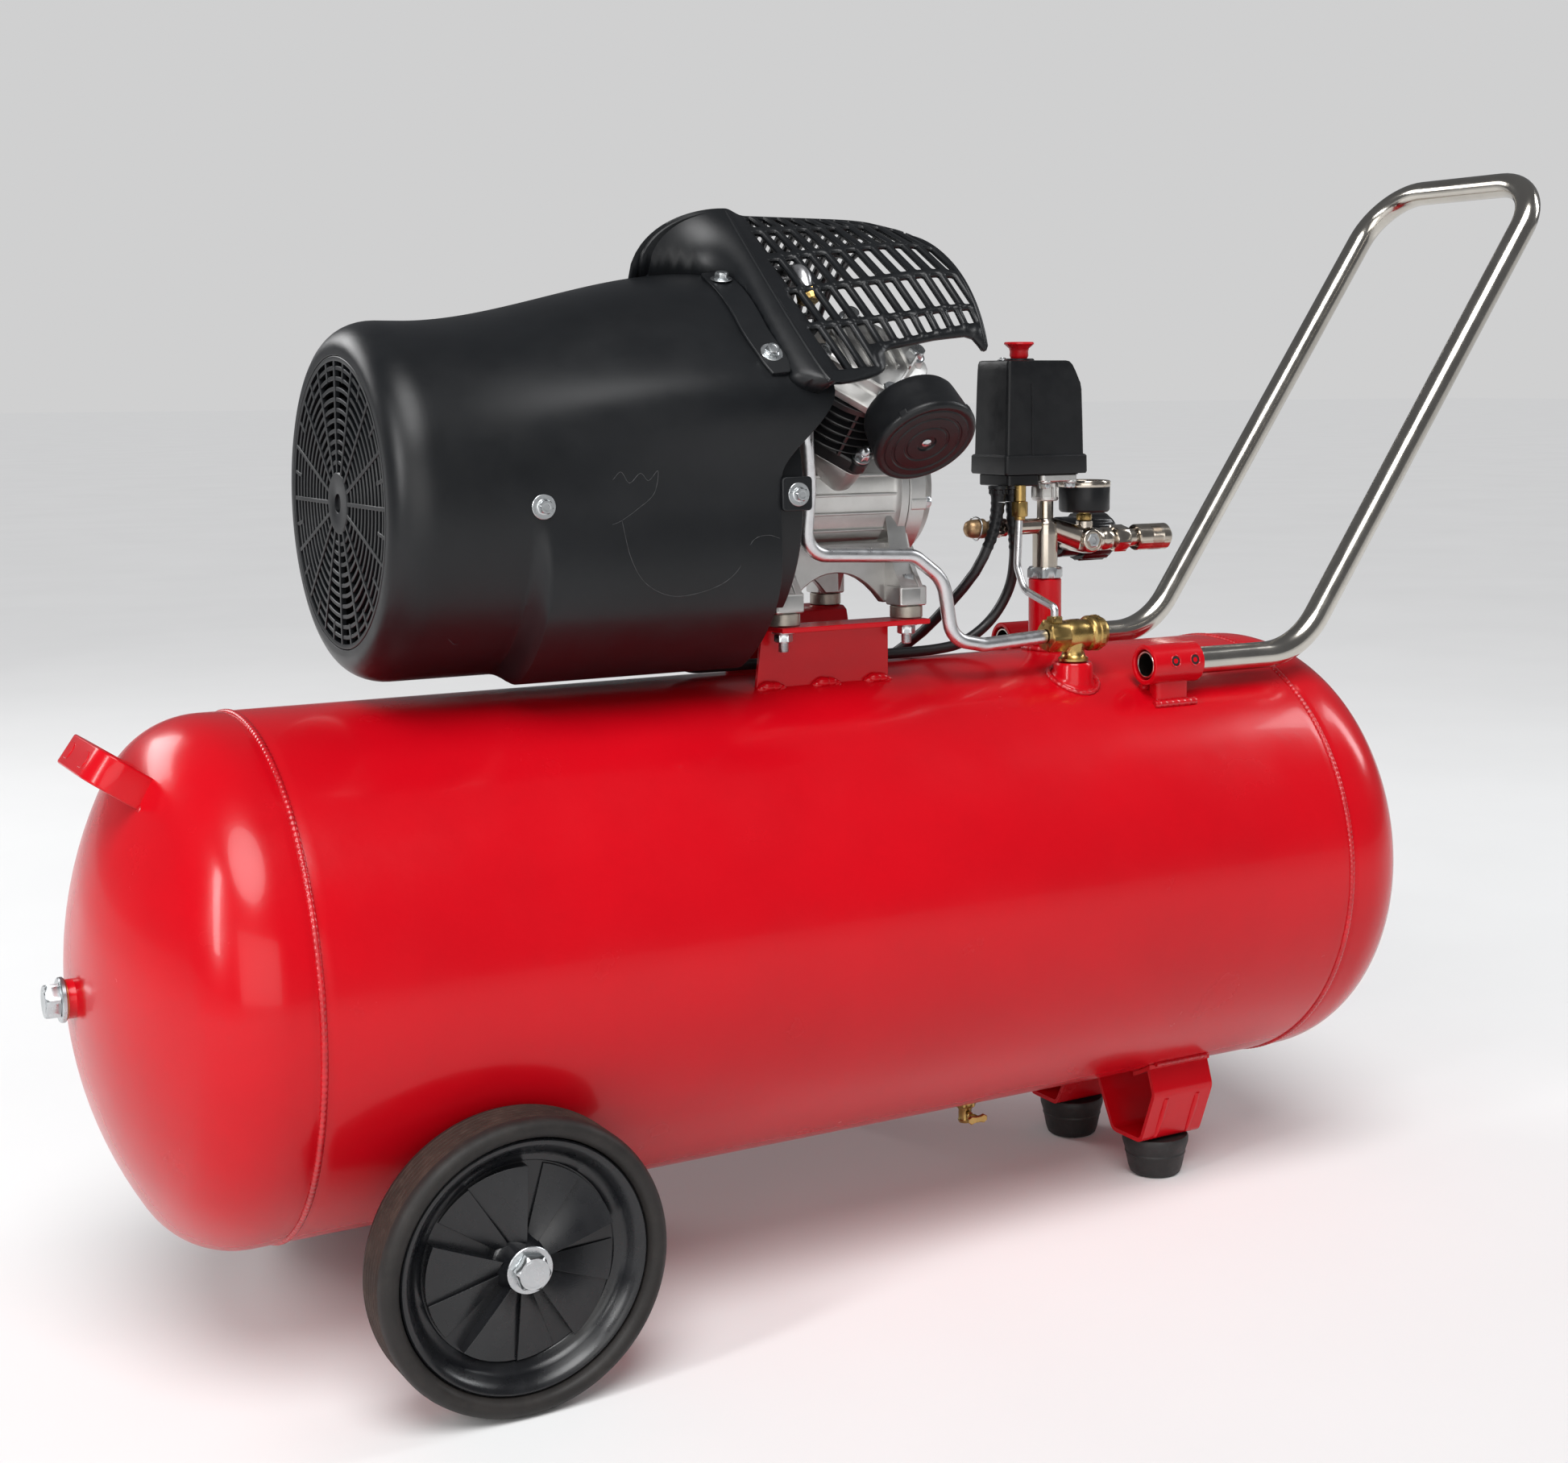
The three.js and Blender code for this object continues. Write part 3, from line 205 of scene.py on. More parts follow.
TYRE = surface("tyre_rubber", (0.017, 0.015, 0.014), 0.55, vary=0.35, patch=18.0, grain=1100.0,
               grain_height=0.00012, dust=(0.30, (0.05, 0.042, 0.036)), specular=0.3)
TREAD = surface("scuffed_tread", (0.036, 0.022, 0.017), 0.70, vary=0.45, patch=26.0, grain=700.0,
                grain_height=0.0004, grain_stretch=(1.0, 7.0, 1.0),
                dust=(0.6, (0.085, 0.056, 0.044)), specular=0.25)
FOOT_RUBBER = surface("foot_rubber", (0.012, 0.012, 0.012), 0.55, vary=0.3, patch=50.0,
                      grain=1500.0, grain_height=0.00008, dust=(0.2, (0.07, 0.065, 0.06)))
SHEATH = surface("cable_sheath", (0.009, 0.009, 0.010), 0.40, vary=0.2, patch=60.0, grain=900.0,
                 grain_height=0.00005)
CAST = surface("cast_aluminium", (0.56, 0.555, 0.54), 0.42, 1.0, vary=0.10, patch=30.0,
               rough_spread=0.05, grain=1700.0, grain_height=0.00007,
               dust=(0.22, (0.36, 0.35, 0.34)), wear=(0.4, (0.76, 0.75, 0.73)))
MACHINED = surface("machined_aluminium", (0.66, 0.65, 0.63), 0.26, 1.0, vary=0.1, patch=50.0,
                   grain=900.0, grain_height=0.00006, grain_stretch=(1.0, 6.0, 1.0))
TUBE_ALUMINIUM = surface("drawn_aluminium", (0.66, 0.66, 0.67), 0.33, 1.0, vary=0.12, patch=60.0,
                         grain=1300.0, grain_height=0.00002, dust=(0.15, (0.45, 0.44, 0.44)))
BLACK_CAST = surface("black_cast_iron", (0.010, 0.010, 0.011), 0.34, vary=0.3, patch=60.0,
                     grain=1300.0, grain_height=0.00008, wear=(0.25, (0.06, 0.06, 0.06)))
NICKEL = surface("nickel_plate", (0.56, 0.50, 0.43), 0.20, 1.0, vary=0.10, patch=40.0,
                 rough_spread=0.05, grain=700.0, grain_height=0.00001,
                 dust=(0.20, (0.36, 0.30, 0.24)))
STAINLESS = surface("polished_stainless", (0.55, 0.52, 0.47), 0.17, 1.0, vary=0.12, patch=20.0,
                    rough_spread=0.04, grain=1400.0, grain_height=0.000008,
                    dust=(0.15, (0.40, 0.37, 0.32)))
ZINC = surface("zinc_plate", (0.54, 0.56, 0.57), 0.30, 1.0, vary=0.12, patch=60.0,
               rough_spread=0.06, grain=1800.0, grain_height=0.000012,
               dust=(0.25, (0.38, 0.42, 0.45)))
BRASS = surface("brass", (0.46, 0.31, 0.11), 0.30, 1.0, vary=0.14, patch=50.0, rough_spread=0.06,
                grain=1500.0, grain_height=0.000015, dust=(0.30, (0.28, 0.18, 0.07)))
BUSH = surface("bush_metal", (0.40, 0.36, 0.31), 0.38, 0.85, vary=0.2, patch=90.0,
               grain=1200.0, grain_height=0.00003)
BRONZE = surface("dull_bronze", (0.40, 0.26, 0.14), 0.42, 0.85, vary=0.25, patch=110.0,
                 grain=1200.0, grain_height=0.00003)
COPPER = surface("varnished_winding", (0.45, 0.17, 0.06), 0.30, 1.0, vary=0.25, patch=80.0,
                 grain=1200.0, grain_height=0.0003, grain_stretch=(1.0, 1.0, 9.0))
IRON = surface("machined_iron", (0.28, 0.28, 0.29), 0.38, 1.0, vary=0.2, patch=70.0)
SCRATCH = surface("scratch_mark", (0.06, 0.06, 0.063), 0.6, vary=0.5, patch=300.0)
DIAL = surface("dial_face", (0.80, 0.80, 0.78), 0.4, vary=0.03, patch=60.0)
INK = surface("dial_print", (0.01, 0.01, 0.01), 0.5, vary=0.1)


def glass_material():
    n = Nodes("gauge_lens")
    n.shader.inputs["Base Color"].default_value = (0.95, 0.97, 0.97, 1)
    n.shader.inputs["Transmission Weight"].default_value = 1.0
    n.shader.inputs["IOR"].default_value = 1.25
    n.link(n.spread(n.noise(120.0), 0.01, 0.05), n.shader.inputs["Roughness"])
    return n.material


LENS = glass_material()


# ---------------------------------------------------------------- mesh building
def at(x, y, z, axis=(0, 0, 1), roll=0.0):
    """Places a shape made about +Z so that it stands at a point and looks along axis."""
    turn = Vector((0, 0, 1)).rotation_difference(Vector(axis)).to_matrix().to_4x4()
    return Matrix.Translation((x, y, z)) @ turn @ Matrix.Rotation(roll, 4, "Z")


X, NX, Y, NY, Z, NZ = (1, 0, 0), (-1, 0, 0), (0, 1, 0), (0, -1, 0), (0, 0, 1), (0, 0, -1)


def smooth_line(points, steps):
    """Catmull-Rom through the points, with that many steps between each pair."""
    p = [Vector(q) for q in points]
    p = [p[0] * 2 - p[1], *p, p[-1] * 2 - p[-2]]
    line = []
    for i in range(1, len(p) - 2):
        for k in range(steps):
            t = k / steps
            a, b, c, d = p[i - 1], p[i], p[i + 1], p[i + 2]
            line.append(0.5 * (2 * b + (c - a) * t + (2 * a - 5 * b + 4 * c - d) * t * t
                               + (3 * b - a - 3 * c + d) * t ** 3))
    line.append(p[-2])
    return line


def rounded_line(corners, radii, steps=10):
    """Straight runs with each inner corner rounded."""
    p = [Vector(c) for c in corners]
    line = [p[0]]
    for i in range(1, len(p) - 1):
        before = (p[i] - p[i - 1]).normalized()
        after = (p[i + 1] - p[i]).normalized()
        half = before.angle(after) / 2
        reach = radii[i - 1] * math.tan(half)
        start, end = p[i] - before * reach, p[i] + after * reach
        handle = radii[i - 1] * 4 / 3 * math.tan(half / 2)
        line += geometry.interpolate_bezier(start, start + before * handle,
                                            end - after * handle, end, steps)
    line.append(p[-1])
    return line


def arc(centre, radius, start, end, steps):
    """Points on a circle in a plane, angles in degrees."""
    return [(centre[0] + radius * math.cos(math.radians(start + (end - start) * i / steps)),
             centre[1] + radius * math.sin(math.radians(start + (end - start) * i / steps)))
            for i in range(steps + 1)]


def rounded_rect(half_x, half_y, corner, steps=5):
    outline = []
    for k, (sx, sy) in enumerate(((1, 1), (-1, 1), (-1, -1), (1, -1))):
        outline += arc((sx * (half_x - corner), sy * (half_y - corner)), corner,
                       90 * k, 90 * k + 90, steps)
    return outline


class Part:
    """One visible piece: shapes are added in millimetres, then made() turns them into an object."""

    def __init__(self, name, body="frame"):
        self.name, self.body = name, body
        self.bm = bmesh.new()
        self.materials = []

    def put(self, verts, faces, material, place=None):
        if material not in self.materials:
            self.materials.append(material)
        index = self.materials.index(material)
        made = [self.bm.verts.new(place @ Vector(v) if place else Vector(v)) for v in verts]
        new_faces = []
        for f in faces:
            face = self.bm.faces.new([made[i] for i in f])
            face.material_index = index
            face.smooth = True
            new_faces.append(face)
        bmesh.ops.recalc_face_normals(self.bm, faces=new_faces)
        return made

    def rings(self, rings, material, place=None, closed=False, caps=True):
        """A skin through rings of points, each with the same count."""
        count = len(rings[0])
        verts = [v for ring in rings for v in ring]
        faces = []
        last = len(rings) if closed else len(rings) - 1
        for s in range(last):
            for i in range(count):
                a, b = s * count + i, s * count + (i + 1) % count
                t = (s + 1) % len(rings)
                faces.append((a, b, t * count + (i + 1) % count, t * count + i))
        if caps and not closed:
            faces.append(tuple(range(count)))
            faces.append(tuple(range(last * count, (last + 1) * count)))
        return self.put(verts, faces, material, place)

    def lathe(self, profile, material, place=None, sides=64, closed=False):
        """A solid of revolution about local +Z from [radius, z]. Both ends may lie on the axis."""
        rings = [[(r * math.cos(2 * math.pi * i / sides), r * math.sin(2 * math.pi * i / sides), z)
                  for i in range(sides)] for r, z in profile if r > 1e-6]
        ends = [profile[0][0] <= 1e-6, profile[-1][0] <= 1e-6]
        verts = [v for ring in rings for v in ring]
        faces = []
        last = len(rings) if closed else len(rings) - 1
        for s in range(last):
            for i in range(sides):
                a, b = s * sides + i, s * sides + (i + 1) % sides
                t = (s + 1) % len(rings)
                faces.append((a, b, t * sides + (i + 1) % sides, t * sides + i))
        for end, row, z in ((ends[0], 0, profile[0][1]), (ends[1], len(rings) - 1, profile[-1][1])):
            if end:
                verts.append((0, 0, z))
                for i in range(sides):
                    faces.append((row * sides + i, row * sides + (i + 1) % sides, len(verts) - 1))
        return self.put(verts, faces, material, place)

    def disc(self, radius, z0, z1, material, place=None, sides=48, edge=0.6, hole=0.0):
        """A round slab with broken edges."""
        e = min(edge, (z1 - z0) / 3)
        outer = [(radius - e, z0), (radius, z0 + e), (radius, z1 - e), (radius - e, z1)]
        if hole:
            return self.lathe([(hole + e, z0), *outer, (hole + e, z1), (hole, z1 - e), (hole, z0 + e)],
                              material, place, sides, closed=True)
        return self.lathe([(0, z0), *outer, (0, z1)], material, place, sides)

    def prism(self, outline, z0, z1, material, place=None, edge=0.0):
        """An outline in XY drawn along Z; edge shrinks both end faces to break their corners."""
        rings = [[(x, y, z0) for x, y in outline], [(x, y, z1) for x, y in outline]]
        if edge:
            inner = inset(outline, edge)
            rings = [[(x, y, z0) for x, y in inner], [(x, y, z0 + edge) for x, y in outline],
                     [(x, y, z1 - edge) for x, y in outline], [(x, y, z1) for x, y in inner]]
        return self.rings(rings, material, place)

    def block(self, x0, x1, y0, y1, z0, z1, material, place=None, corner=1.0, edge=0.6):
        """A slab with rounded upright corners and broken end faces."""
        centre = Matrix.Translation(((x0 + x1) / 2, (y0 + y1) / 2, 0))
        outline = rounded_rect((x1 - x0) / 2, (y1 - y0) / 2, corner, 3)
        return self.prism(outline, z0, z1, material, (place or Matrix()) @ centre, edge)

    def tube(self, line, radius, material, sides=20, caps=True, place=None, closed=False):
        """A tube along a line; radius is one number or one per point."""
        p = [Vector(q) for q in line]
        radii = radius if isinstance(radius, (list, tuple)) else [radius] * len(p)
        tangents = []
        for i in range(len(p)):
            a, b = p[max(0, i - 1)], p[min(len(p) - 1, i + 1)]
            if closed:
                a, b = p[i - 1], p[(i + 1) % len(p)]
            tangents.append((b - a).normalized())
        normal = tangents[0].orthogonal().normalized()
        rings = []
        for i, t in enumerate(tangents):
            normal = (normal - t * normal.dot(t)).normalized()
            other = t.cross(normal)
            rings.append([p[i] + (normal * math.cos(2 * math.pi * k / sides)
                                  + other * math.sin(2 * math.pi * k / sides)) * radii[i]
                          for k in range(sides)])
        return self.rings(rings, material, place, closed=closed, caps=caps)

    def bead(self, line, radius, pitch=3.2, closed=False):
        """A weld bead: a rounded rope of overlapping ripples along a line."""
        dense = resample(line, 0.8, closed)
        radii = [radius * (0.82 + 0.18 * abs(math.sin(math.pi * 0.8 * i / pitch)))
                 for i in range(len(dense))]
        self.tube(dense, radii, WELD_RED, 10, closed=closed)

    def hexagon(self, across, z0, z1, material, place=None, roll=0.0, chamfer=0.8, hole=0.0):
        """A hexagon nut or head with its corners turned off at the outer end."""
        radius = across / math.sqrt(3)
        turn = (place or Matrix()) @ Matrix.Rotation(roll, 4, "Z")
        sides = 48

        def ring(limit, z):
            points = []
            for i in range(sides):
                a = 2 * math.pi * i / sides
                flat = across / 2 / math.cos((a + math.pi / 6) % (math.pi / 3) - math.pi / 6)
                r = min(flat, radius, limit)
                points.append((r * math.cos(a), r * math.sin(a), z))
            return points

        top = across / 2 * 0.96
        rings = [ring(top, z0), ring(radius, z0 + chamfer * 0.6), ring(radius, z1 - chamfer),
                 ring(top, z1)]
        if hole:
            rings += [[(hole * math.cos(2 * math.pi * i / sides),
                        hole * math.sin(2 * math.pi * i / sides), z)
                       for i in range(sides)] for z in (z1, z0)]
            return self.rings(rings, material, turn, closed=True)
        return self.rings(rings, material, turn)

    def made(self, bevel=0.0, segments=2, angle=38, replaces=(), slot=None, solidify=0.0):
        """Turns the shapes into an object that rides its body and stands for CAD nodes."""
        for face in self.bm.faces:
            face.smooth = True
        mesh = bpy.data.meshes.new(self.name + "_look")
        self.bm.to_mesh(mesh)
        self.bm.free()
        mesh.transform(TO_FRAME)
        for material in self.materials:
            mesh.materials.append(material)
        mesh.set_sharp_from_angle(angle=math.radians(angle))
        obj = bpy.data.objects.new(self.name + "_look", mesh)
        bpy.context.scene.collection.objects.link(obj)
        if solidify:
            thick = obj.modifiers.new("thickness", "SOLIDIFY")
            thick.thickness = solidify / 1000
            thick.offset = -1.0
            thick.use_even_offset = True
        if bevel:
            edge = obj.modifiers.new("edges", "BEVEL")
            edge.width = bevel / 1000
            edge.segments = segments
            edge.limit_method = "ANGLE"
            edge.angle_limit = math.radians(angle)
            edge.harden_normals = True
        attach(obj, self.body)
        if replaces:
            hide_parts(*replaces)
        return obj


def inset(outline, amount):
    """The outline moved inwards, for a broken edge."""
    count = len(outline)
    area = sum(outline[i][0] * outline[(i + 1) % count][1] - outline[(i + 1) % count][0] * outline[i][1]
               for i in range(count))
    sign = 1 if area > 0 else -1
    result = []
    for i in range(count):
        p = Vector(outline[i])
        before = p - Vector(outline[i - 1])
        after = Vector(outline[(i + 1) % count]) - p
        before = before.normalized() if before.length > 1e-9 else after.normalized()
        after = after.normalized() if after.length > 1e-9 else before
        n1 = Vector((-before.y, before.x)) * sign
        n2 = Vector((-after.y, after.x)) * sign
        n = n1 + n2
        n = n.normalized() if n.length > 1e-6 else n1
        result.append(tuple(p + n * amount / max(0.5, n.dot(n1))))
    return result


def resample(line, pitch, closed=False):
    """Points along a line, one every pitch."""
    p = [Vector(q) for q in line]
    if closed:
        p.append(p[0])
    dense = []
    carry = 0.0
    for a, b in zip(p, p[1:]):
        length = (b - a).length
        while carry < length:
            dense.append(a.lerp(b, carry / length))
            carry += pitch
        carry -= length
    return dense


def around(place, count, start=0.0):
    """A placed frame for each of count equal turns about local +Z."""
    return [place @ Matrix.Rotation(start + 2 * math.pi * k / count, 4, "Z") for k in range(count)]


def circle(radius, place, count=64):
    """Points on a circle in the placed XY plane."""
    return [place @ Vector((radius * math.cos(2 * math.pi * i / count),
                            radius * math.sin(2 * math.pi * i / count), 0)) for i in range(count)]


def screw(part, place, across=8.0, washer=6.5, height=4.5, flange=True, recess=True):
    """A zinc hex screw with a washer, standing on local z 0."""
    part.disc(washer, 0, 1.0, ZINC, place, 32, 0.3)
    if flange:
        part.lathe([(0, 0.8), (across * 0.62, 0.8), (across * 0.62, 1.3), (across * 0.5, 2.0), (0, 2.0)],
                   ZINC, place, 32)
    part.hexagon(across, 1.6, height, ZINC, place, roll=0.3)
    if recess:
        part.lathe([(0, height - 0.5), (across * 0.2, height - 0.3), (across * 0.3, height + 0.15),
                    (across * 0.36, height + 0.1), (across * 0.36, height - 0.6), (0, height - 0.6)],
                   ZINC, place, 24)


# ---------------------------------------------------------------- mains lead
LEAD_R = 4.25
COIL_X, COIL_Y, COIL_INNER, COIL_OUTER = 88.7, 320.0, 42.6, 51.2
LAYER_LOW, LAYER_HIGH = LEAD_R + 0.3, 3 * LEAD_R + 0.4
PLUG_X, PLUG_Y = 36.0, 243.0
ROUTE = [(189, -13, 561.5), (187, -13, 548), (181, -13, 530), (171, -7, 506), (159, 12, 480),
         (149, 38, 455), (142, 68, 436), (139, 100, 418), (138, 132, 390), (137, 162, 352),
         (137, 181, 305), (138, 188, 250), (139, 195, 200), (140, 203, 150), (140, 212, 100),
         (140, 224, 54), (140, 240, 22), (140, 258, 7), (140, 276, LAYER_LOW), (139.9, 298, LAYER_LOW)]


def step_up(value, start, end, low, high):
    t = min(1.0, max(0.0, (value - start) / (end - start)))
    return low + (high - low) * t * t * (3 - 2 * t)


def mains_line():
    """Down to the floor, then three and a half turns in two layers, then the run to the plug."""
    line = smooth_line(ROUTE, 2)
    steps = 24
    for k in range(int(3.5 * steps) + 1):
        turn = k / steps
        radius = (step_up(turn, 5 / 6, 1, COIL_OUTER, COIL_INNER)
                  + step_up(turn, 2.5, 2 + 2 / 3, 0, COIL_OUTER - COIL_INNER))
        height = step_up(turn, 1 + 2 / 3, 1 + 5 / 6, LAYER_LOW, LAYER_HIGH)
        angle = 2 * math.pi * turn
        line.append(Vector((COIL_X + radius * math.cos(angle), COIL_Y + radius * math.sin(angle),
                            height)))
    line += [Vector((PLUG_X + 0.4, 304, 13.3)), Vector((PLUG_X, 288, 13.3))]
    return line


lead_line = mains_line()
lead_part = Part("mains_lead")
lead_part.tube(lead_line, LEAD_R, SHEATH, 14)
lead = lead_part.made(replaces=("mains_lead", "mains_coil"), slot="cable_rubber")


def mains_plug():
    plug = Part("mains_plug")
    place = at(PLUG_X, PLUG_Y, 0.3)
    plug.prism(rounded_rect(24, 24, 9, 6), 0, 9, BLACK_PLASTIC, place, 1.4)
    plug.prism(rounded_rect(22.5, 22.5, 8, 6), 7, 20, BLACK_PLASTIC, place, 1.8)
    for side in (-1, 1):
        for k in range(5):
            plug.block(side * 22.6 - 0.9, side * 22.6 + 0.9, -15 + 7 * k, -12 + 7 * k, 9.5, 18,
                       BLACK_PLASTIC, place, 0.5, 0.3)
    for x, y, wide in ((0, -12, 2.0), (-11, 8, 3.0), (11, 8, 3.0)):
        plug.block(x - wide, x + wide, y - 2, y + 2, 19, 24, BRASS, place, 0.5, 0.5)
    screw(plug, place @ at(0, 4, 19.6), 4.0, 3.6, 1.4, flange=False, recess=False)
    profile = [(0, 19), (7.8, 19)]
    for k in range(5):
        r = 7.6 - 0.42 * k
        profile += [(r, 21 + 5 * k), (r, 23.4 + 5 * k), (r - 1.3, 23.8 + 5 * k), (r - 1.3, 25.4 + 5 * k)]
    profile += [(LEAD_R + 0.5, 46), (0, 46)]
    plug.lathe(profile, BLACK_PLASTIC, at(PLUG_X, PLUG_Y, 13.3, Y), 32)
    return plug.made(replaces=("mains_plug",), slot="cable_rubber")


plug = mains_plug()


# ---------------------------------------------------------------- tank
TANK_R, TANK_Z, TANK_HALF = 180.0, 259.0, 420.0
FLANGE, KNUCKLE, CROWN = 18.0, 61.0, 294.0
CROWN_CENTRE = FLANGE - math.sqrt((CROWN - KNUCKLE) ** 2 - (TANK_R - KNUCKLE) ** 2)
CROWN_EDGE = math.atan2(TANK_R - KNUCKLE, FLANGE - CROWN_CENTRE)
HEAD_DEPTH = CROWN_CENTRE + CROWN


def head_profile():
    """A dished head's meridian from its weld to the axis, with a shallow step behind the weld."""
    line = [(TANK_R - 0.9, 2.0), (TANK_R - 0.2, 5.0), (TANK_R, 8.0)]
    for i in range(19):
        a = math.pi / 2 - (math.pi / 2 - CROWN_EDGE) * i / 18
        line.append((TANK_R - KNUCKLE + KNUCKLE * math.sin(a), FLANGE + KNUCKLE * math.cos(a)))
    for i in range(1, 15):
        a = CROWN_EDGE * (1 - i / 14)
        line.append((CROWN * math.sin(a) if i < 14 else 0, CROWN_CENTRE + CROWN * math.cos(a)))
    return line


def tank_head(name, side):
    head = Part(name)
    place = at(side * TANK_HALF, 0, TANK_Z, (side, 0, 0))
    head.lathe([(TANK_R - 0.9, 0.3), *head_profile()], RED, place, 192)
    if side < 0:
        depth = HEAD_DEPTH
        head.lathe([(13.0, depth + 5), (13.0, depth - 1), (14.5, depth - 3.2), (18.5, depth - 4.6),
                    (22, depth - 5.4)], RED, place, 64)
        head.lathe([(9.0, depth + 4.4), (12.4, depth + 5), (13.0, depth + 4.4)], RED, place, 64)
        weld = circle(19.5, place @ Matrix.Translation((0, 0, depth - 4.0)))
        head.bead(weld, 2.6, pitch=4.5, closed=True)
    return head.made(replaces=(name,), slot="tank_paint")


def end_plug():
    plug = Part("end_plug")
    place = at(-TANK_HALF - HEAD_DEPTH - 5, 0, TANK_Z, NX)
    plug.disc(15, 0.3, 4, ZINC, place, 64, 0.8)
    plug.hexagon(22, 3.4, 13, ZINC, place, roll=0.25, chamfer=1.6)
    plug.disc(7.5, 12.5, 13.4, ZINC, place, 48, 0.4)
    plug.lathe([(8.5, -3), (8.5, 0.6), (13.6, 0.6), (13.6, -0.2)], BRASS, place, 48)
    return plug.made(replaces=("end_plug",), slot="zinc")


def on_tank(x, angle, lift=0.0):
    """A point on the shell: angle in degrees from the top towards the far side."""
    a = math.radians(angle)
    return Vector((x, (TANK_R + lift) * math.sin(a), TANK_Z + (TANK_R + lift) * math.cos(a)))


def tank_top(y):
    """Height of the shell's upper side."""
    return TANK_Z + math.sqrt(max(0, TANK_R ** 2 - y ** 2))


def ring_on_tank(x, y, radius, lift):
    """The line round an upright boss, where its weld lies on the shell."""
    line = []
    for p in circle(radius, at(x, y, 0), 48):
        line.append(Vector((p.x, p.y, tank_top(p.y) + lift)))
    return line


def flare(part, x, y, radius, top, spread, sides=96):
    """The fillet at the root of a round boss that stands upright on the shell."""
    rings = []
    for k in range(9):
        t = k / 8
        r = radius + spread * (1 - math.cos(t * math.pi / 2))
        ring = []
        for i in range(sides):
            a = 2 * math.pi * i / sides
            px, py = x + r * math.cos(a), y + r * math.sin(a)
            rise = top if k == 0 else spread * (1 - math.sin(t * math.pi / 2))
            ring.append((px, py, tank_top(py) - 0.4 + rise))
        rings.append(ring)
    part.rings(rings, RED, caps=False)


def tank_shell():
    shell = Part("tank_shell")
    seam = [(-TANK_HALF + 0.3, TANK_R - 0.9), (-TANK_HALF + 6, TANK_R - 0.2), (-TANK_HALF + 10, TANK_R)]
    profile = [(r, x) for x, r in seam]
    profile += [(TANK_R, -300 + 100 * k) for k in range(7)]
    profile += [(r, -x) for x, r in reversed(seam)]
    shell.lathe(profile, RED, at(0, 0, TANK_Z, X), 192)
    for side in (-1, 1):
        place = at(side * TANK_HALF, 0, TANK_Z, X)
        shell.bead(circle(TANK_R - 1.2, place, 240), 2.5, pitch=4.2, closed=True)
    # The long seam of the rolled plate runs along the underside.
    shell.bead([on_tank(-TANK_HALF + 8, 168, -1.0), on_tank(TANK_HALF - 8, 168, -1.0)], 2.4, pitch=3.6)
    return shell.made(replaces=("tank_shell",), slot="tank_paint")


RISER_X, RISER_TOP, RISER_R = 244.0, 497.0, 13.5
VALVE_X, VALVE_Y, VALVE_Z = 220.0, -73.0, 459.0
DRAIN_X = 165.0
BOSS_ROOT = 432.0                # the riser starts just inside the shell


def tank_bosses():
    boss = Part("tank_bosses")
    height = RISER_TOP - BOSS_ROOT
    boss.lathe([(RISER_R, 0), (RISER_R, height - 1), (RISER_R - 1, height), (9, height), (9, height - 8)],
               RED, at(RISER_X, 0, BOSS_ROOT), 64)
    flare(boss, RISER_X, 0, RISER_R - 0.2, 8, 5)
    boss.bead(ring_on_tank(RISER_X, 0, 17, 1.2), 2.6, pitch=4.4, closed=True)
    boss.lathe([(16, -14), (15.6, 9), (14.8, 10.4), (14.4, 11), (7, 11), (7, 6)], RED,
               at(VALVE_X, VALVE_Y, 426), 64)
    flare(boss, VALVE_X, VALVE_Y, 15.8, 6, 6)
    boss.bead(ring_on_tank(VALVE_X, VALVE_Y, 19.5, 0.8), 2.2, pitch=5.2, closed=True)
    boss.lathe([(14, -6), (14, 4.4), (13.4, 5), (5.4, 5), (5.4, -4)], RED,
               at(DRAIN_X, 0, TANK_Z - TANK_R, NZ), 64)
    boss.bead(circle(15, at(DRAIN_X, 0, TANK_Z - TANK_R - 0.8), 48), 2.2, pitch=4.2, closed=True)
    return boss.made(slot="tank_paint")


HANDLE_Y, HANDLE_Z, SOCKET_X0, SOCKET_X1 = 100.65, 434.0, 268.6, 318.0


def handle_socket(name, side):
    """A red tube welded to the shell, with two grub screws that hold the handle."""
    socket = Part(name)
    y = side * HANDLE_Y
    length = SOCKET_X1 - SOCKET_X0
    socket.lathe([(12.2, 0.8), (13.0, 0), (15.2, 0), (16, 0.8), (16, length - 0.8), (15.2, length),
                  (13, length), (12.2, length - 0.8)], RED, at(SOCKET_X0, y, HANDLE_Z, X), 72, closed=True)
    socket.block(SOCKET_X0 + 9, SOCKET_X1 - 9, y - 7, y + 7, tank_top(y) - 4, HANDLE_Z - 10, RED, None,
                 4.0, 0.6)
    for dy in (-9, 9):
        line = [Vector((x, y + dy, tank_top(y + dy) + 1.2))
                for x in (SOCKET_X0 + 4, (SOCKET_X0 + SOCKET_X1) / 2, SOCKET_X1 - 4)]
        socket.bead(line, 3.4, pitch=6.0)
    tilt = math.radians(12)
    aim = Vector((0, -math.cos(tilt), math.sin(tilt)))
    for x in (SOCKET_X0 + 20, SOCKET_X1 - 10):
        place = at(x, y + 16 * aim.y, HANDLE_Z + 16 * aim.z, aim)
        socket.lathe([(4.9, -1.2), (5.1, 0.3), (4.6, 0.6), (4.1, 0.3), (3.9, -0.6), (0, -0.6)],
                     RED, place, 32)
        socket.lathe([(3.9, -0.6), (3.7, 0.15), (2.2, 0.1), (1.9, -0.4), (0, -0.4)], BLACK_CAST, place, 32)
    return socket.made(slot="tank_paint")


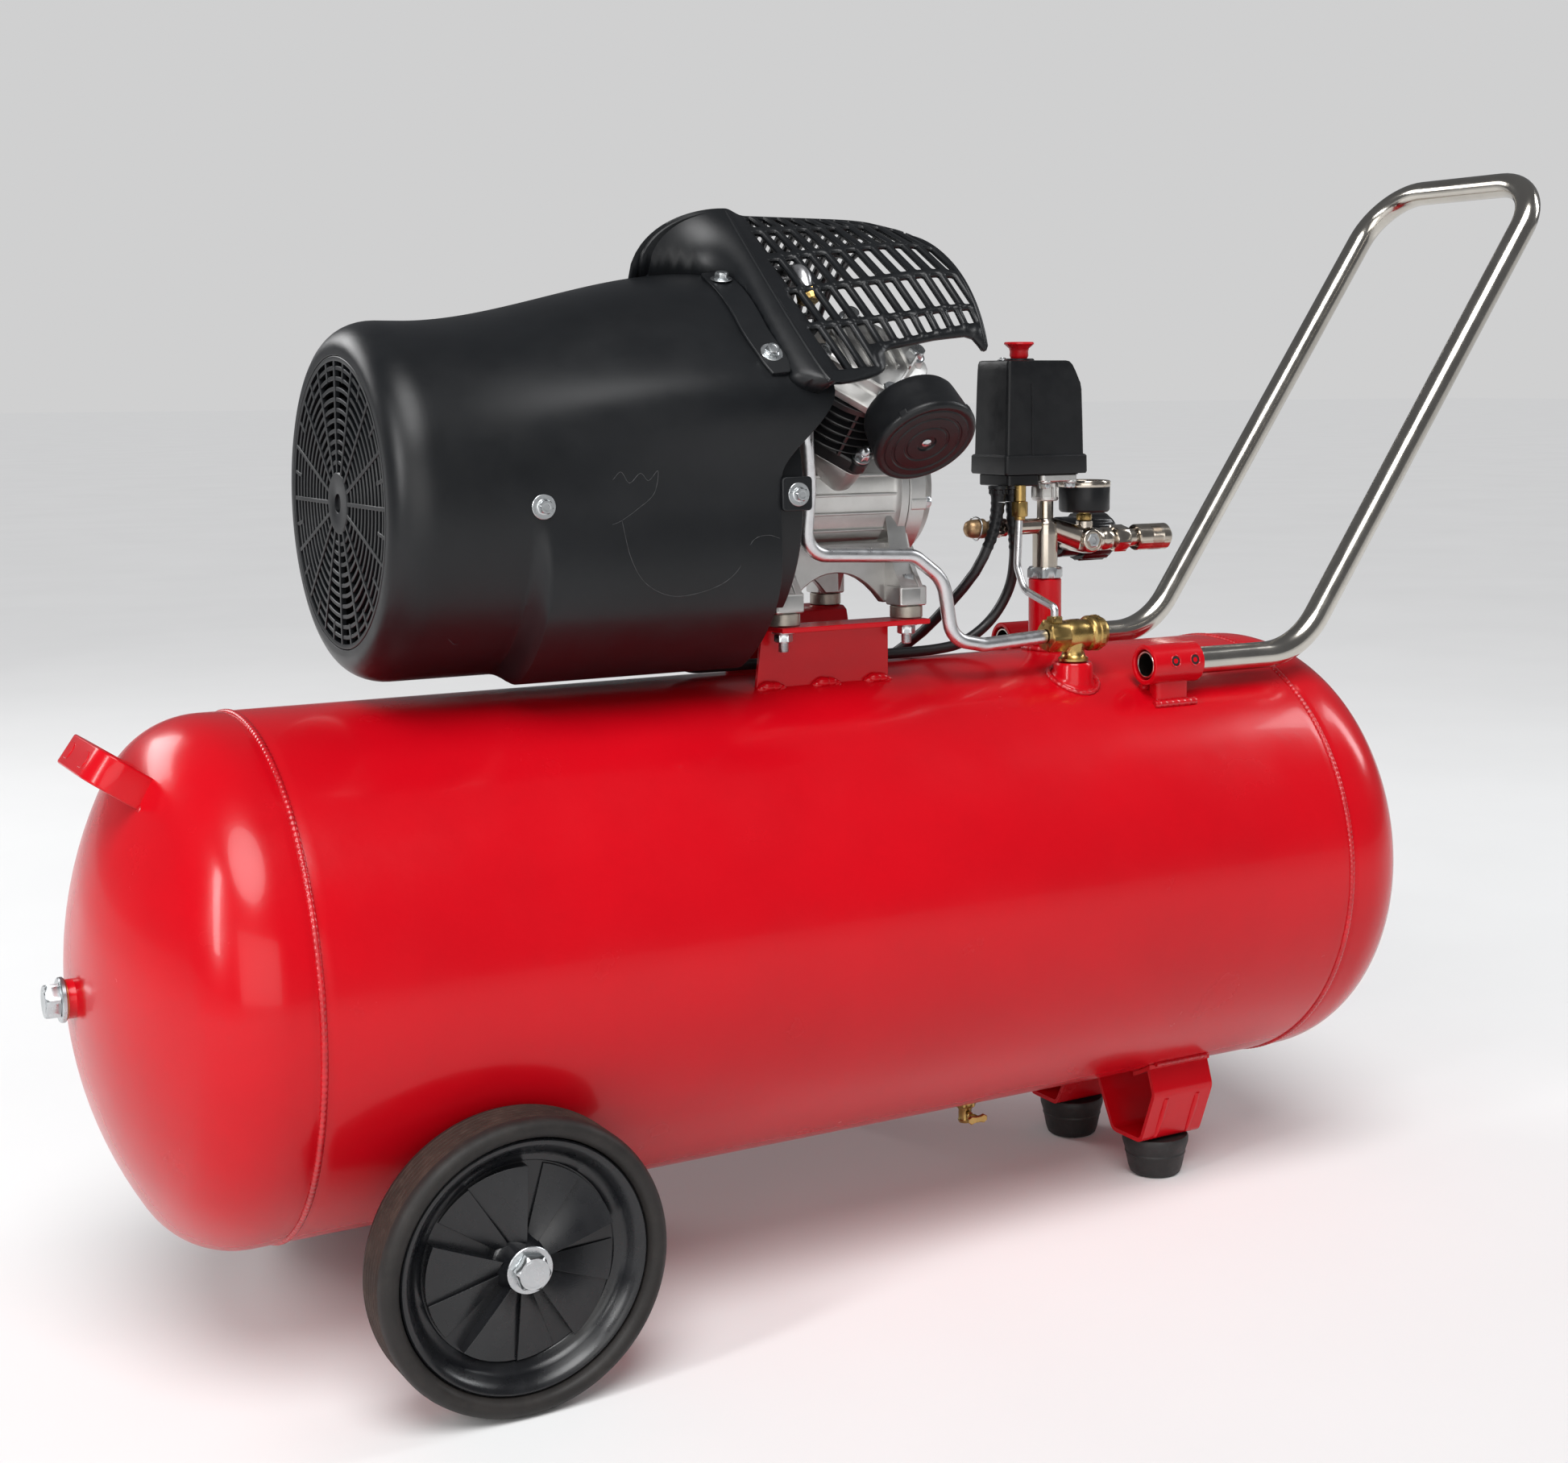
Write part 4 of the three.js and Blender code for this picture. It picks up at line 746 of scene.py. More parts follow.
def axle_bracket(name, side):
    """A folded channel under the shell whose outer cheek takes the wheel bolt."""
    bracket = Part(name)
    base = [(66, 88), (120, 86), (158, 84), (158, 92), (158, 104), (156, 114), (140, 140), (132, 146),
            (96, 125), (66, 110)]
    for dx in (-20, 17):
        rings = []
        for x in (WHEEL_X + dx, WHEEL_X + dx + 3):
            rings.append([(x, side * y, z) for y, z in base])
        bracket.rings(rings, RED)
    bracket.block(WHEEL_X - 20, WHEEL_X + 20, min(side * 155, side * 158), max(side * 155, side * 158),
                  84, 114, RED, None, 0.6, 0.4)
    floor = [[(WHEEL_X - 20, side * 66, 88), (WHEEL_X + 20, side * 66, 88), (WHEEL_X + 20, side * 66, 91),
              (WHEEL_X - 20, side * 66, 91)],
             [(WHEEL_X - 20, side * 158, 84), (WHEEL_X + 20, side * 158, 84),
              (WHEEL_X + 20, side * 158, 87),
              (WHEEL_X - 20, side * 158, 87)]]
    bracket.rings(floor, RED)
    for dx in (-22, 22):
        line = [on_tank(WHEEL_X + dx, side * (180 - math.degrees(math.asin(y / TANK_R))), 0.5)
                for y in (74, 96, 118, 140)]
        bracket.bead(line, 2.6, pitch=5.0)
    return bracket.made(bevel=0.8, slot="tank_paint")


STRAP_TILT = math.radians(-55.2)
STRAP_PLACE = (Matrix.Translation((-491.5, 0, 398)) @ Matrix.Rotation(STRAP_TILT, 4, "Y"))


def lift_strap():
    """A flat bar bent into a U: local z points away from the head, local x across the bar."""
    strap = Part("lift_strap")
    corner, half, reach, thick = 17, 50, 38, 5.0
    centre = [(half - thick / 2, z) for z in (-12, 4, 8, 11, 14, 17)]
    centre += arc((half - thick / 2 - corner, reach - thick / 2 - corner), corner, 0, 90, 10)
    centre += [(12, reach - thick / 2)]
    centre += [(-y, z) for y, z in reversed(centre)]
    rings = []
    outline = rounded_rect(11, thick / 2, 1.5, 4)
    for i, (y, z) in enumerate(centre):
        a, b = centre[max(0, i - 1)], centre[min(len(centre) - 1, i + 1)]
        along = Vector((b[0] - a[0], b[1] - a[1])).normalized()
        normal = Vector((-along.y, along.x))
        rings.append([(w, y + normal.x * t, z + normal.y * t) for w, t in outline])
    strap.rings(rings, RED, STRAP_PLACE)
    for side in (-1, 1):
        foot = [STRAP_PLACE @ Vector((w, side * (half + 1), -4.5 + abs(w) * 0.12))
                for w in (-12, -4, 4, 12)]
        strap.bead(foot, 3.2, pitch=5.0)
        inside = [STRAP_PLACE @ Vector((w, side * (half - thick - 1), -5.0)) for w in (-11, -4, 4, 11)]
        strap.bead(inside, 2.4, pitch=5.0)
        strap.block(-6, 6, side * 22 - 8, side * 22 + 8, reach - 0.6, reach + 0.5, RED, STRAP_PLACE,
                    5.0, 0.4)
    return strap.made(replaces=("lift_strap",), slot="tank_paint")


def drain():
    cock = Part("drain_cock")
    place = at(DRAIN_X, 0, TANK_Z - TANK_R - 5, NZ)
    cock.lathe([(0, -2), (5, -2), (5, 0.4), (0, 0.4)], BRASS, place, 32)
    cock.hexagon(17, 0.3, 8.6, BRASS, place, roll=0.2, chamfer=1.0)
    cock.lathe([(0, 8), (6.2, 8), (6.2, 10), (5.4, 11.4), (5.4, 19), (6, 20), (5.2, 22), (2.4, 22),
                (2.2, 18),
                (0, 18)], BRASS, place, 48)
    made = cock.made(replaces=("drain_cock",), slot="brass")
    tap = Part("drain_tap", "drain_tap")
    stem = at(DRAIN_X, -6.3, TANK_Z - TANK_R - 20, NY)
    tap.lathe([(0, 0), (3, 0), (3, 2), (2.2, 2.6), (2.2, 6), (3, 7), (3, 11), (0, 11)], BRASS, stem, 32)
    tap.prism([(9, 1.6), (6, 3.6), (2.5, 2.6), (-2.5, 2.6), (-6, 3.6), (-9, 1.6), (-9, -1.6), (-6, -3.6),
               (-2.5, -2.6), (2.5, -2.6), (6, -3.6), (9, -1.6)], 10.6, 13.6, BRASS, stem, 0.6)
    return made, tap.made(replaces=("drain_tap",), slot="brass")


tank_shell()
tank_bosses()
tank_head("tank_head_left", -1)
tank_head("tank_head_right", 1)
end_plug()
handle_socket("handle_socket_near", -1)
handle_socket("handle_socket_far", 1)
axle_bracket("axle_bracket_near", -1)
axle_bracket("axle_bracket_far", 1)
lift_strap()
drain()


# ---------------------------------------------------------------- wheels
BLADE_STEPS = 6


def wheel(name, side):
    """Local +Z points outwards from the machine."""
    body = "wheel_" + name
    place = at(WHEEL_X, side * WHEEL_Y, WHEEL_R, (0, side, 0))
    tyre = Part("tyre_" + name, body)
    wall = [(84.0, 12.0), (84.6, 15.5), (85.6, 18.6), (87.4, 20.6), (90.0, 21.6), (92.6, 21.4),
            (95.0, 20.0), (96.6, 18.0), (97.4, 15.6), (97.8, 13.5)]
    tyre.lathe(wall, TYRE, place, 144)
    tyre.lathe([(r, -z) for r, z in reversed(wall)], TYRE, place, 144)
    tread = [(97.8, 13.5), (98.0, 12.8)]
    for k in range(6):
        z = 11.0 - 4.4 * k
        tread += [(98.0, z), (97.55, z - 0.35), (97.55, z - 0.75), (98.0, z - 1.1)]
    tread += [(98.0, -12.8), (97.8, -13.5)]
    tyre.lathe(tread, TREAD, place, 144)
    tyre.lathe([(84.0, 12.0), (84.0, -12.0)], TYRE, place, 96)
    tyre.made(replaces=("tyre_" + name,), slot="tyre")

    rim = Part("rim_" + name, body)
    dish = [(83.7, 12.0), (83.7, 15.2), (82.6, 16.2), (81.0, 16.0), (78.6, 14.2), (76.0, 11.0),
            (73.8, 7.2), (72.0, 4.6), (69.4, 3.0), (66.6, 2.4), (65.6, 1.4), (65.4, -2.0)]
    back = [(65.4, -4.0), (70, -6), (76, -9), (79, -14), (82, -15.6), (83.7, -15.0), (83.7, 12.0)]
    rim.lathe(dish + back, RIM_PLASTIC, place, 144, closed=True)
    rim.lathe([(0, 1.0), (65.8, 1.0), (65.8, -3.6), (0, -3.6)], RIM_PLASTIC, place, 144)
    rim.lathe([(6.4, 19.0), (12.6, 19.0), (13.8, 18.0), (14.4, 15.0), (17.4, 5.0), (19.5, 3.0),
               (19.5, 0.5)], RIM_PLASTIC, place, 72)
    rim.lathe([(6.4, 19.0), (6.4, 10.0)], RIM_PLASTIC, place, 48)
    rim.lathe([(6.4, -20.6), (16.2, -20.6), (17, -19.8), (17, -3.0)], RIM_PLASTIC, place, 72)
    # Five tilted blades stand out of the disc; between them it falls back to the next blade.
    for turn in around(place, 5, math.radians(14)):
        for first, width, high, low in ((0.0, 36.0, 12.5, 4.0), (36.0, 24.0, 6.8, 2.2)):
            rings = []
            for j in range(BLADE_STEPS + 1):
                a = math.radians(first + width * j / BLADE_STEPS)
                lift = high + (low - high) * j / BLADE_STEPS
                shape = [(r, 0.8 + lift * share)
                         for r, share in ((16, 1.0), (30, 0.95), (48, 0.85), (60, 0.74), (64.5, 0.68))]
                shape += [(64.5, 0.6), (16, 0.6)]
                rings.append([(r * math.cos(a), r * math.sin(a), z) for r, z in shape])
            rim.rings(rings, RIM_PLASTIC, turn)
    for turn in around(place, 10, math.radians(14)):
        rim.block(17, 74, -1.1, 1.1, -9, -3.4, RIM_PLASTIC, turn, 0.8, 0.5)
    rim.made(bevel=0.7, angle=34, replaces=("rim_" + name,), slot="gloss_plastic")

    bolt = Part("axle_bolt_" + name)
    bolt.disc(15.5, 19.2, 20.6, ZINC, place, 64, 0.4, hole=6.1)
    bolt.hexagon(21, 20.5, 28.0, ZINC, place, roll=0.35, chamfer=1.6)
    bolt.lathe([(0, 27.4), (7.6, 27.8), (8.6, 28.05), (9.0, 27.6), (0, 27.4)], ZINC, place, 48)
    bolt.disc(6, -50, 19.5, ZINC, place, 40, 0.5)
    bolt.disc(10, -33.6, -21.4, ZINC, place, 48, 0.6, hole=6.05)
    bolt.disc(14, -39, -37.3, ZINC, place, 48, 0.4, hole=6.05)
    bolt.hexagon(19, -47, -39.2, ZINC, place, chamfer=1.0)
    bolt.made(replaces=("axle_bolt_" + name,), slot="zinc")


wheel("near", -1)
wheel("far", 1)


# ---------------------------------------------------------------- feet
FOOT_X, FOOT_Y, FOOT_HALF = 316.0, 59.4, 30.0


def foot(name, side):
    bracket = Part("foot_bracket_" + name)
    turn = Matrix.Rotation(0 if side < 0 else math.pi, 4, "Z")
    place = Matrix.Translation((FOOT_X, 0, 0)) @ turn
    folds = ((-13, 87), (-40.5, 35.8), (-78, 35.8), (-95.2, 79), (-88, 99), (-87, 106))
    line = rounded_line([(0, y, z) for y, z in folds], [7, 7, 9, 5], 5)
    rings = []
    for i, p in enumerate(line):
        a, b = line[max(0, i - 1)], line[min(len(line) - 1, i + 1)]
        along = (b - a).normalized()
        normal = Vector((0, -along.z, along.y)) * 1.75
        out, inn = p - normal, p + normal
        rings.append([(-FOOT_HALF, out.y, out.z), (-FOOT_HALF, inn.y, inn.z),
                      (FOOT_HALF, inn.y, inn.z), (FOOT_HALF, out.y, out.z)])
    bracket.rings(rings, RED, place)
    # The fold at the top lies along the shell and is welded there.
    lip = []
    for k in range(5):
        y = -69 - 5.5 * k
        z = TANK_Z - math.sqrt(TANK_R ** 2 - y * y)
        lip.append([(-FOOT_HALF - 1, y, z - 4.0), (-FOOT_HALF - 1, y, z - 0.4),
                    (FOOT_HALF + 1, y, z - 0.4), (FOOT_HALF + 1, y, z - 4.0)])
    bracket.rings(lip, RED, place)
    for x in (-16, 16):
        rib = [(x, y, z) for y, z in ((-78.5, 38.5), (-80.5, 41), (-86.5, 54), (-92.5, 69), (-93.6, 74))]
        bracket.tube(smooth_line(rib, 5), 2.6, RED, 14, place=place)
    for y, lift, radius, stops in ((-93.0, -1.0, 2.6, (-26, -10, 8, 26)), (-16.0, 1.0, 3.2, (-26, 0, 26))):
        weld = [place @ Vector((x, y, TANK_Z - math.sqrt(TANK_R ** 2 - y * y) + lift)) for x in stops]
        bracket.bead(weld, radius, pitch=6.0)
    bracket.made(bevel=0.9, angle=40, replaces=("foot_bracket_" + name,), slot="tank_paint")

    rubber = Part("rubber_foot_" + name)
    stand = at(FOOT_X, side * FOOT_Y, 0)
    rubber.lathe([(0, 4.5), (7.5, 4.5), (8.5, 3.8), (8.5, 0.8), (9.3, 0), (19.4, 0), (21.0, 1.4), (22.6, 6),
                  (24.8, 17.0), (25.3, 17.6), (25.3, 18.6), (25.0, 19.2), (27.4, 27.0), (27.6, 31.0),
                  (26.6, 32.8), (0, 32.8)], FOOT_RUBBER, stand, 72)
    rubber.lathe([(0, 5.4), (5.5, 5.4), (5.5, 4.4), (0, 4.4)], ZINC, stand, 32)
    rubber.made(replaces=("rubber_foot_" + name,), slot="foot_rubber")
    top = Part("foot_screw_" + name)
    top.hexagon(13, 37.8, 44.5, ZINC, stand, roll=0.2)
    top.disc(9, 37.6, 38.6, ZINC, stand, 40, 0.3)
    top.made(slot="zinc")


foot("near", -1)
foot("far", 1)


# ---------------------------------------------------------------- pump mounting
FLANGE_Z = 480.0
MOUNTS_X, MOUNT_Y = (-34.0, 72.0), 62.0


def pump_bracket(name, side):
    bracket = Part("pump_bracket_" + name)
    x0, x1 = 19 - 63.5, 19 + 63.5
    web_foot = tank_top(46) - 1
    line = [(side * 46, web_foot), (side * 46, FLANGE_Z - 8), (side * 47.2, FLANGE_Z - 4.2),
            (side * 51, FLANGE_Z - 2), (side * 80, FLANGE_Z - 2)]
    rings = []
    for i, (y, z) in enumerate(line):
        a, b = line[max(0, i - 1)], line[min(len(line) - 1, i + 1)]
        along = Vector((b[0] - a[0], b[1] - a[1])).normalized()
        n = Vector((-along.y, along.x)) * 1.9
        left = x0 - (5 if z < FLANGE_Z - 40 else 0)
        right = x1 - (18 if z < FLANGE_Z - 6 else 0)
        ring = [(left, y + n.x, z + n.y), (left, y - n.x, z - n.y),
                (right, y - n.x, z - n.y), (right, y + n.x, z + n.y)]
        rings.append([(px if side < 0 else x0 + x1 - px, py, pz) for px, py, pz in ring])
    bracket.rings(rings, RED)
    for x in (-38, 9, 54):
        x = x if side < 0 else x0 + x1 - x
        y = side * 49.5
        z = tank_top(y)
        for dx, dz, r in ((-7, 0.0, 4.6), (-2.5, 1.5, 5.8), (3, 1.2, 5.4), (7.5, 0.0, 4.2)):
            place = Matrix.Translation((x + dx, y, z + dz)) @ Matrix.Diagonal((1.2, 0.8, 0.75, 1))
            bracket.lathe(arc((0, 0), r, -90, 90, 12), RED, place, 28)
    bracket.made(bevel=0.7, replaces=("pump_bracket_" + name,), slot="tank_paint")
    for i, x in enumerate(MOUNTS_X):
        place = at(x, side * MOUNT_Y, FLANGE_Z + 0.3)
        spacer = Part(f"isolator_{name}_{i + 1}")
        spacer.disc(12.4, 0, 9, BUSH, place, 56, 0.6, hole=4.6)
        spacer.made(replaces=(f"isolator_{name}_{i + 1}",), slot="isolator")
        bolt = Part(f"mounting_bolt_{name}_{i + 1}")
        top = 9.6 + 15
        bolt.disc(9, top, top + 1.4, ZINC, place, 48, 0.3)
        bolt.hexagon(12, top + 1.4, top + 8.4, ZINC, place, roll=0.4 + i)
        bolt.lathe([(0, -20), (3.0, -20), (3.6, -19), (3.6, top + 1), (0, top + 1)], ZINC, place, 32)
        bolt.disc(8.5, -6.0, -4.6, ZINC, place, 48, 0.3)
        bolt.hexagon(12, -12.5, -6.0, ZINC, place, roll=0.1 + i, chamfer=1.0)
        for k in range(6):
            bolt.disc(4.0, -19.4 + 1.1 * k, -18.9 + 1.1 * k, ZINC, place, 24, 0.2)
        bolt.made(slot="zinc")


pump_bracket("near", -1)
pump_bracket("far", 1)


# ---------------------------------------------------------------- crankcase
SHAFT_Z = 577.0
BANKS = (("near", -1, 18.0), ("far", 1, 30.0))
PAD_Z = FLANGE_Z + 9.6 - SHAFT_Z
AXIS = Matrix.Translation((0, 0, SHAFT_Z))
ALONG_X = Matrix(((0, 0, 1, 0), (1, 0, 0, 0), (0, 1, 0, 0), (0, 0, 0, 1)))  # outline in YZ, drawn along X


def bank_place(side, x):
    """Local +Z runs out along a cylinder's bore from the shaft."""
    return Matrix.Translation((x, 0, SHAFT_Z)) @ Matrix.Rotation(-side * math.pi / 4, 4, "X")


def diamond(half, corner, z, steps=6):
    """A square with rounded corners that stands on one of them."""
    c = math.cos(math.pi / 4)
    return [(c * (u - v), c * (u + v), z) for u, v in rounded_rect(half, half, corner, steps)]


def crankcase():
    case = Part("crankcase")
    lie = AXIS @ at(0, 0, 0, X)
    case.lathe([(0, -58), (50, -58), (54, -55), (54, 66), (56.5, 69), (59, 71), (59, 77.2), (58.4, 77.8),
                (0, 77.8)], CAST, lie, 96)
    for turn in around(lie, 24, 0.06):
        case.block(53.2, 56.0, -1.1, 1.1, -52, 69, CAST, turn, 0.8, 0.6)
    case.disc(55.6, -10, -7.5, CAST, lie, 96, 0.6)
    for _, side, x in BANKS:
        case.rings([diamond(half, corner, z, 5)
                    for z, half, corner in ((20, 20, 6), (34, 27, 8), (44, 33, 9), (56, 35.5, 9),
                                            (65.2, 36, 9), (66, 35.4, 9))], CAST, bank_place(side, x))
    for x in MOUNTS_X:
        for side in (-1, 1):
            x0, x1 = x - 10.5, min(x + 10.5, 77.5)
            leg = ((14, -48), (50, -20), (55, -44), (62, -60), (72, PAD_Z + 15), (74, PAD_Z + 12),
                   (74, PAD_Z + 2), (49, PAD_Z + 2), (46.5, PAD_Z + 6), (43, -74), (38, -66),
                   (30, -59.5), (20, -56))
            case.rings([[(end, side * y, z) for y, z in leg] for end in (x0, x1)], CAST, AXIS)
            case.block(x - 12, x + 12, side * MOUNT_Y - 11.5, side * MOUNT_Y + 11.5, PAD_Z, PAD_Z + 15,
                       CAST, AXIS, 2.5, 1.0)
            rib = ((50, -34), (56, -50), (74, PAD_Z + 14), (66, PAD_Z + 14))
            case.prism([(side * y, z) for y, z in rib], -2.2, 2.2, CAST,
                       AXIS @ Matrix.Translation((x + 6, 0, 0)) @ ALONG_X, 0.5)
    # A low web joins the feet of each side and carries the arch seen between them.
    for side in (-1, 1):
        outline = [(-22 + 82 * t / 12, -62 - 24 * abs(t / 6 - 1) ** 2.2) for t in range(13)]
        outline += [(72, -86), (72, -40), (-32, -40), (-32, -86)]
        turn = Matrix(((1, 0, 0, 0), (0, 0, side, side * 44), (0, 1, 0, 0), (0, 0, 0, 1)))
        case.prism(outline, -4, 4, CAST, AXIS @ turn, 0.8)
    case.made(bevel=1.2, segments=3, angle=40, replaces=("crankcase",), slot="cast_aluminium")


def crankcase_cover():
    cover = Part("crankcase_cover")
    place = AXIS @ at(78.3, 0, 0, X)
    cover.lathe([(0, 0), (58.4, 0), (59, 0.7), (59, 13.4), (58.2, 14.4), (49.4, 24.6), (47.6, 26), (31, 26),
                 (29.4, 25.4), (26.4, 18.6), (24.6, 18), (0, 18)], CAST, place, 96)
    cover.lathe([(0, 17), (9, 17), (11, 21), (11, 22.6), (10, 23.4), (0, 23.4)], CAST, place, 48)
    for k, turn in enumerate(around(place, 8, 0.2)):
        cover.block(8, 30, -1.5, 1.5, 16, 22.5, CAST, turn, 0.8, 0.6)
        if k % 2 == 0:
            cover.block(47, 59.4, -5.5, 5.5, 1, 15.5, CAST, turn, 2.5, 0.9)
            cover.hexagon(9, 15.2, 20.2, ZINC, turn @ at(53.4, 0, 0), roll=0.3)
        else:
            cover.block(45, 59.3, -1.4, 1.4, 1.0, 19, CAST, turn, 0.6, 0.5)
    cover.made(bevel=0.7, replaces=("crankcase_cover",), slot="cast_aluminium")


crankcase()
crankcase_cover()


# ---------------------------------------------------------------- cylinder banks
def cylinder(name, side, x):
    place = bank_place(side, x)
    block = Part("cylinder_" + name)
    profile = [(29.75, 66.4), (36.6, 66.4), (36.6, 78)]
    for k in range(5):
        z = 81 + 7.6 * k
        profile += [(36.6, z), (42.2, z + 0.5), (42.8, z + 1.0), (42.2, z + 1.8), (36.6, z + 2.6)]
    profile += [(36.6, 117), (42, 118), (42, 124), (29.75, 124)]
    block.lathe(profile, BLACK_CAST, place, 80, closed=True)
    foot = ((37, 66.4), (37.2, 70), (37.0, 76.6), (35.6, 78))
    block.rings([diamond(half, 10, z) for half, z in foot], BLACK_CAST, place)
    for turn in around(place, 4):
        block.disc(7.2, -9, 1.2, BLACK_CAST, turn @ at(43.6, 0, 77.8), 40, 1.0)
    for turn in around(place, 8, math.pi / 8):
        block.block(34, 41.8, -1.3, 1.3, 77, 119, BLACK_CAST, turn, 0.6, 0.4)
    block.made(bevel=0.5, replaces=("cylinder_" + name,), slot="black_iron")
    nuts = Part("cylinder_nuts_" + name)
    for k, turn in enumerate(around(place, 4)):
        stud = turn @ at(43.6, 0, 79.0)
        nuts.disc(6.6, 0, 1.2, ZINC, stud, 40, 0.3)
        nuts.hexagon(10, 1.2, 7.0, ZINC, stud, roll=0.2 + k, chamfer=0.8)
        nuts.lathe([(0, 6.4), (4.5, 6.4), (4.4, 8.2), (3.6, 10.2), (2.0, 11.4), (0, 11.6)], ZINC, stud, 32)
    nuts.made(slot="zinc")

    head = Part("cylinder_head_" + name)
    steps = ((39.5, 15, 124.4), (41.6, 16, 126), (42, 16, 128), (42, 16, 131.5), (40.4, 15, 133.4),
             (33.4, 12, 136.0), (31.6, 11, 138), (31, 10, 144.8), (29.6, 9.4, 146))
    head.rings([diamond(*step) for step in steps], CAST, place)
    for turn in around(place, 4):
        head.lathe([(0, 131), (10.5, 131), (8.4, 136), (8.0, 139.4), (7.4, 140), (0, 140)], CAST,
                   turn @ at(39, 0, 0), 40)
    for k in range(6):
        head.block(-27 + 10 * k, -25 + 10 * k, -19, 19, 144, 149.5, CAST, place, 0.8, 0.6)
    head.disc(44, 123.9, 124.5, BLACK_CAST, place, 64, 0.2)
    head.made(bevel=0.8, replaces=("cylinder_head_" + name,), slot="cast_aluminium")
    bolts = Part("head_bolts_" + name)
    for turn in around(place, 4):
        screw(bolts, turn @ at(39, 0, 140), 11.0, 8.0, 8.0)
    bolts.made(slot="zinc")

    # The round filter stands on the head's outer side by a short neck.
    filt = Part("air_filter_" + name)
    stand = (place @ Matrix.Translation((16, side * 46, 134))
             @ Matrix.Rotation(-side * math.pi / 2, 4, "X"))
    filt.lathe([(0, -3.6), (9, -3.6), (9, 0.5), (0, 0.5)], BLACK_PLASTIC, stand, 40)
    filt.lathe([(0, 0.2), (31, 0.2), (34.2, 1.0), (35.4, 3.4), (36.0, 8), (38.0, 28.0), (38.8, 30.6),
                (39.0, 32.2), (38.2, 34.4), (36.4, 35.6), (34.6, 35.8), (33.6, 35.2), (32.4, 35.2),
                (31.6, 35.9), (27.4, 36.1), (26.6, 35.4), (25.2, 35.4), (24.4, 36.1), (17.6, 36.3),
                (16.8, 35.6), (15.6, 35.6), (14.8, 36.3), (7.4, 36.4), (6.6, 35.2), (0, 35.0)],
               BLACK_PLASTIC, stand, 128)
    filt.lathe([(0, 34.6), (3.4, 34.6), (3.6, 35.6), (2.6, 36.4), (0, 36.8)], ZINC, stand, 32)
    filt.block(-2.8, 2.8, -0.35, 0.35, 36.2, 37.0, IRON, stand, 0.1, 0.1)
    for a in (0.9, 2.4, 4.3, 5.6):
        filt.block(35.4, 39.2, -3.4, 3.4, 28, 33.6, BLACK_PLASTIC, stand @ Matrix.Rotation(a, 4, "Z"),
                   1.2, 0.8)
    filt.made(replaces=("air_filter_" + name,), slot="black_plastic")


for bank_name, bank_side, bank_x in BANKS:
    cylinder(bank_name, bank_side, bank_x)


# ---------------------------------------------------------------- hidden pump and motor pieces
THROW, ROD = 10.0, 96.0
PIN_ALONG = THROW * math.cos(math.pi / 4)
WRIST = PIN_ALONG + math.sqrt(ROD ** 2 - PIN_ALONG ** 2)


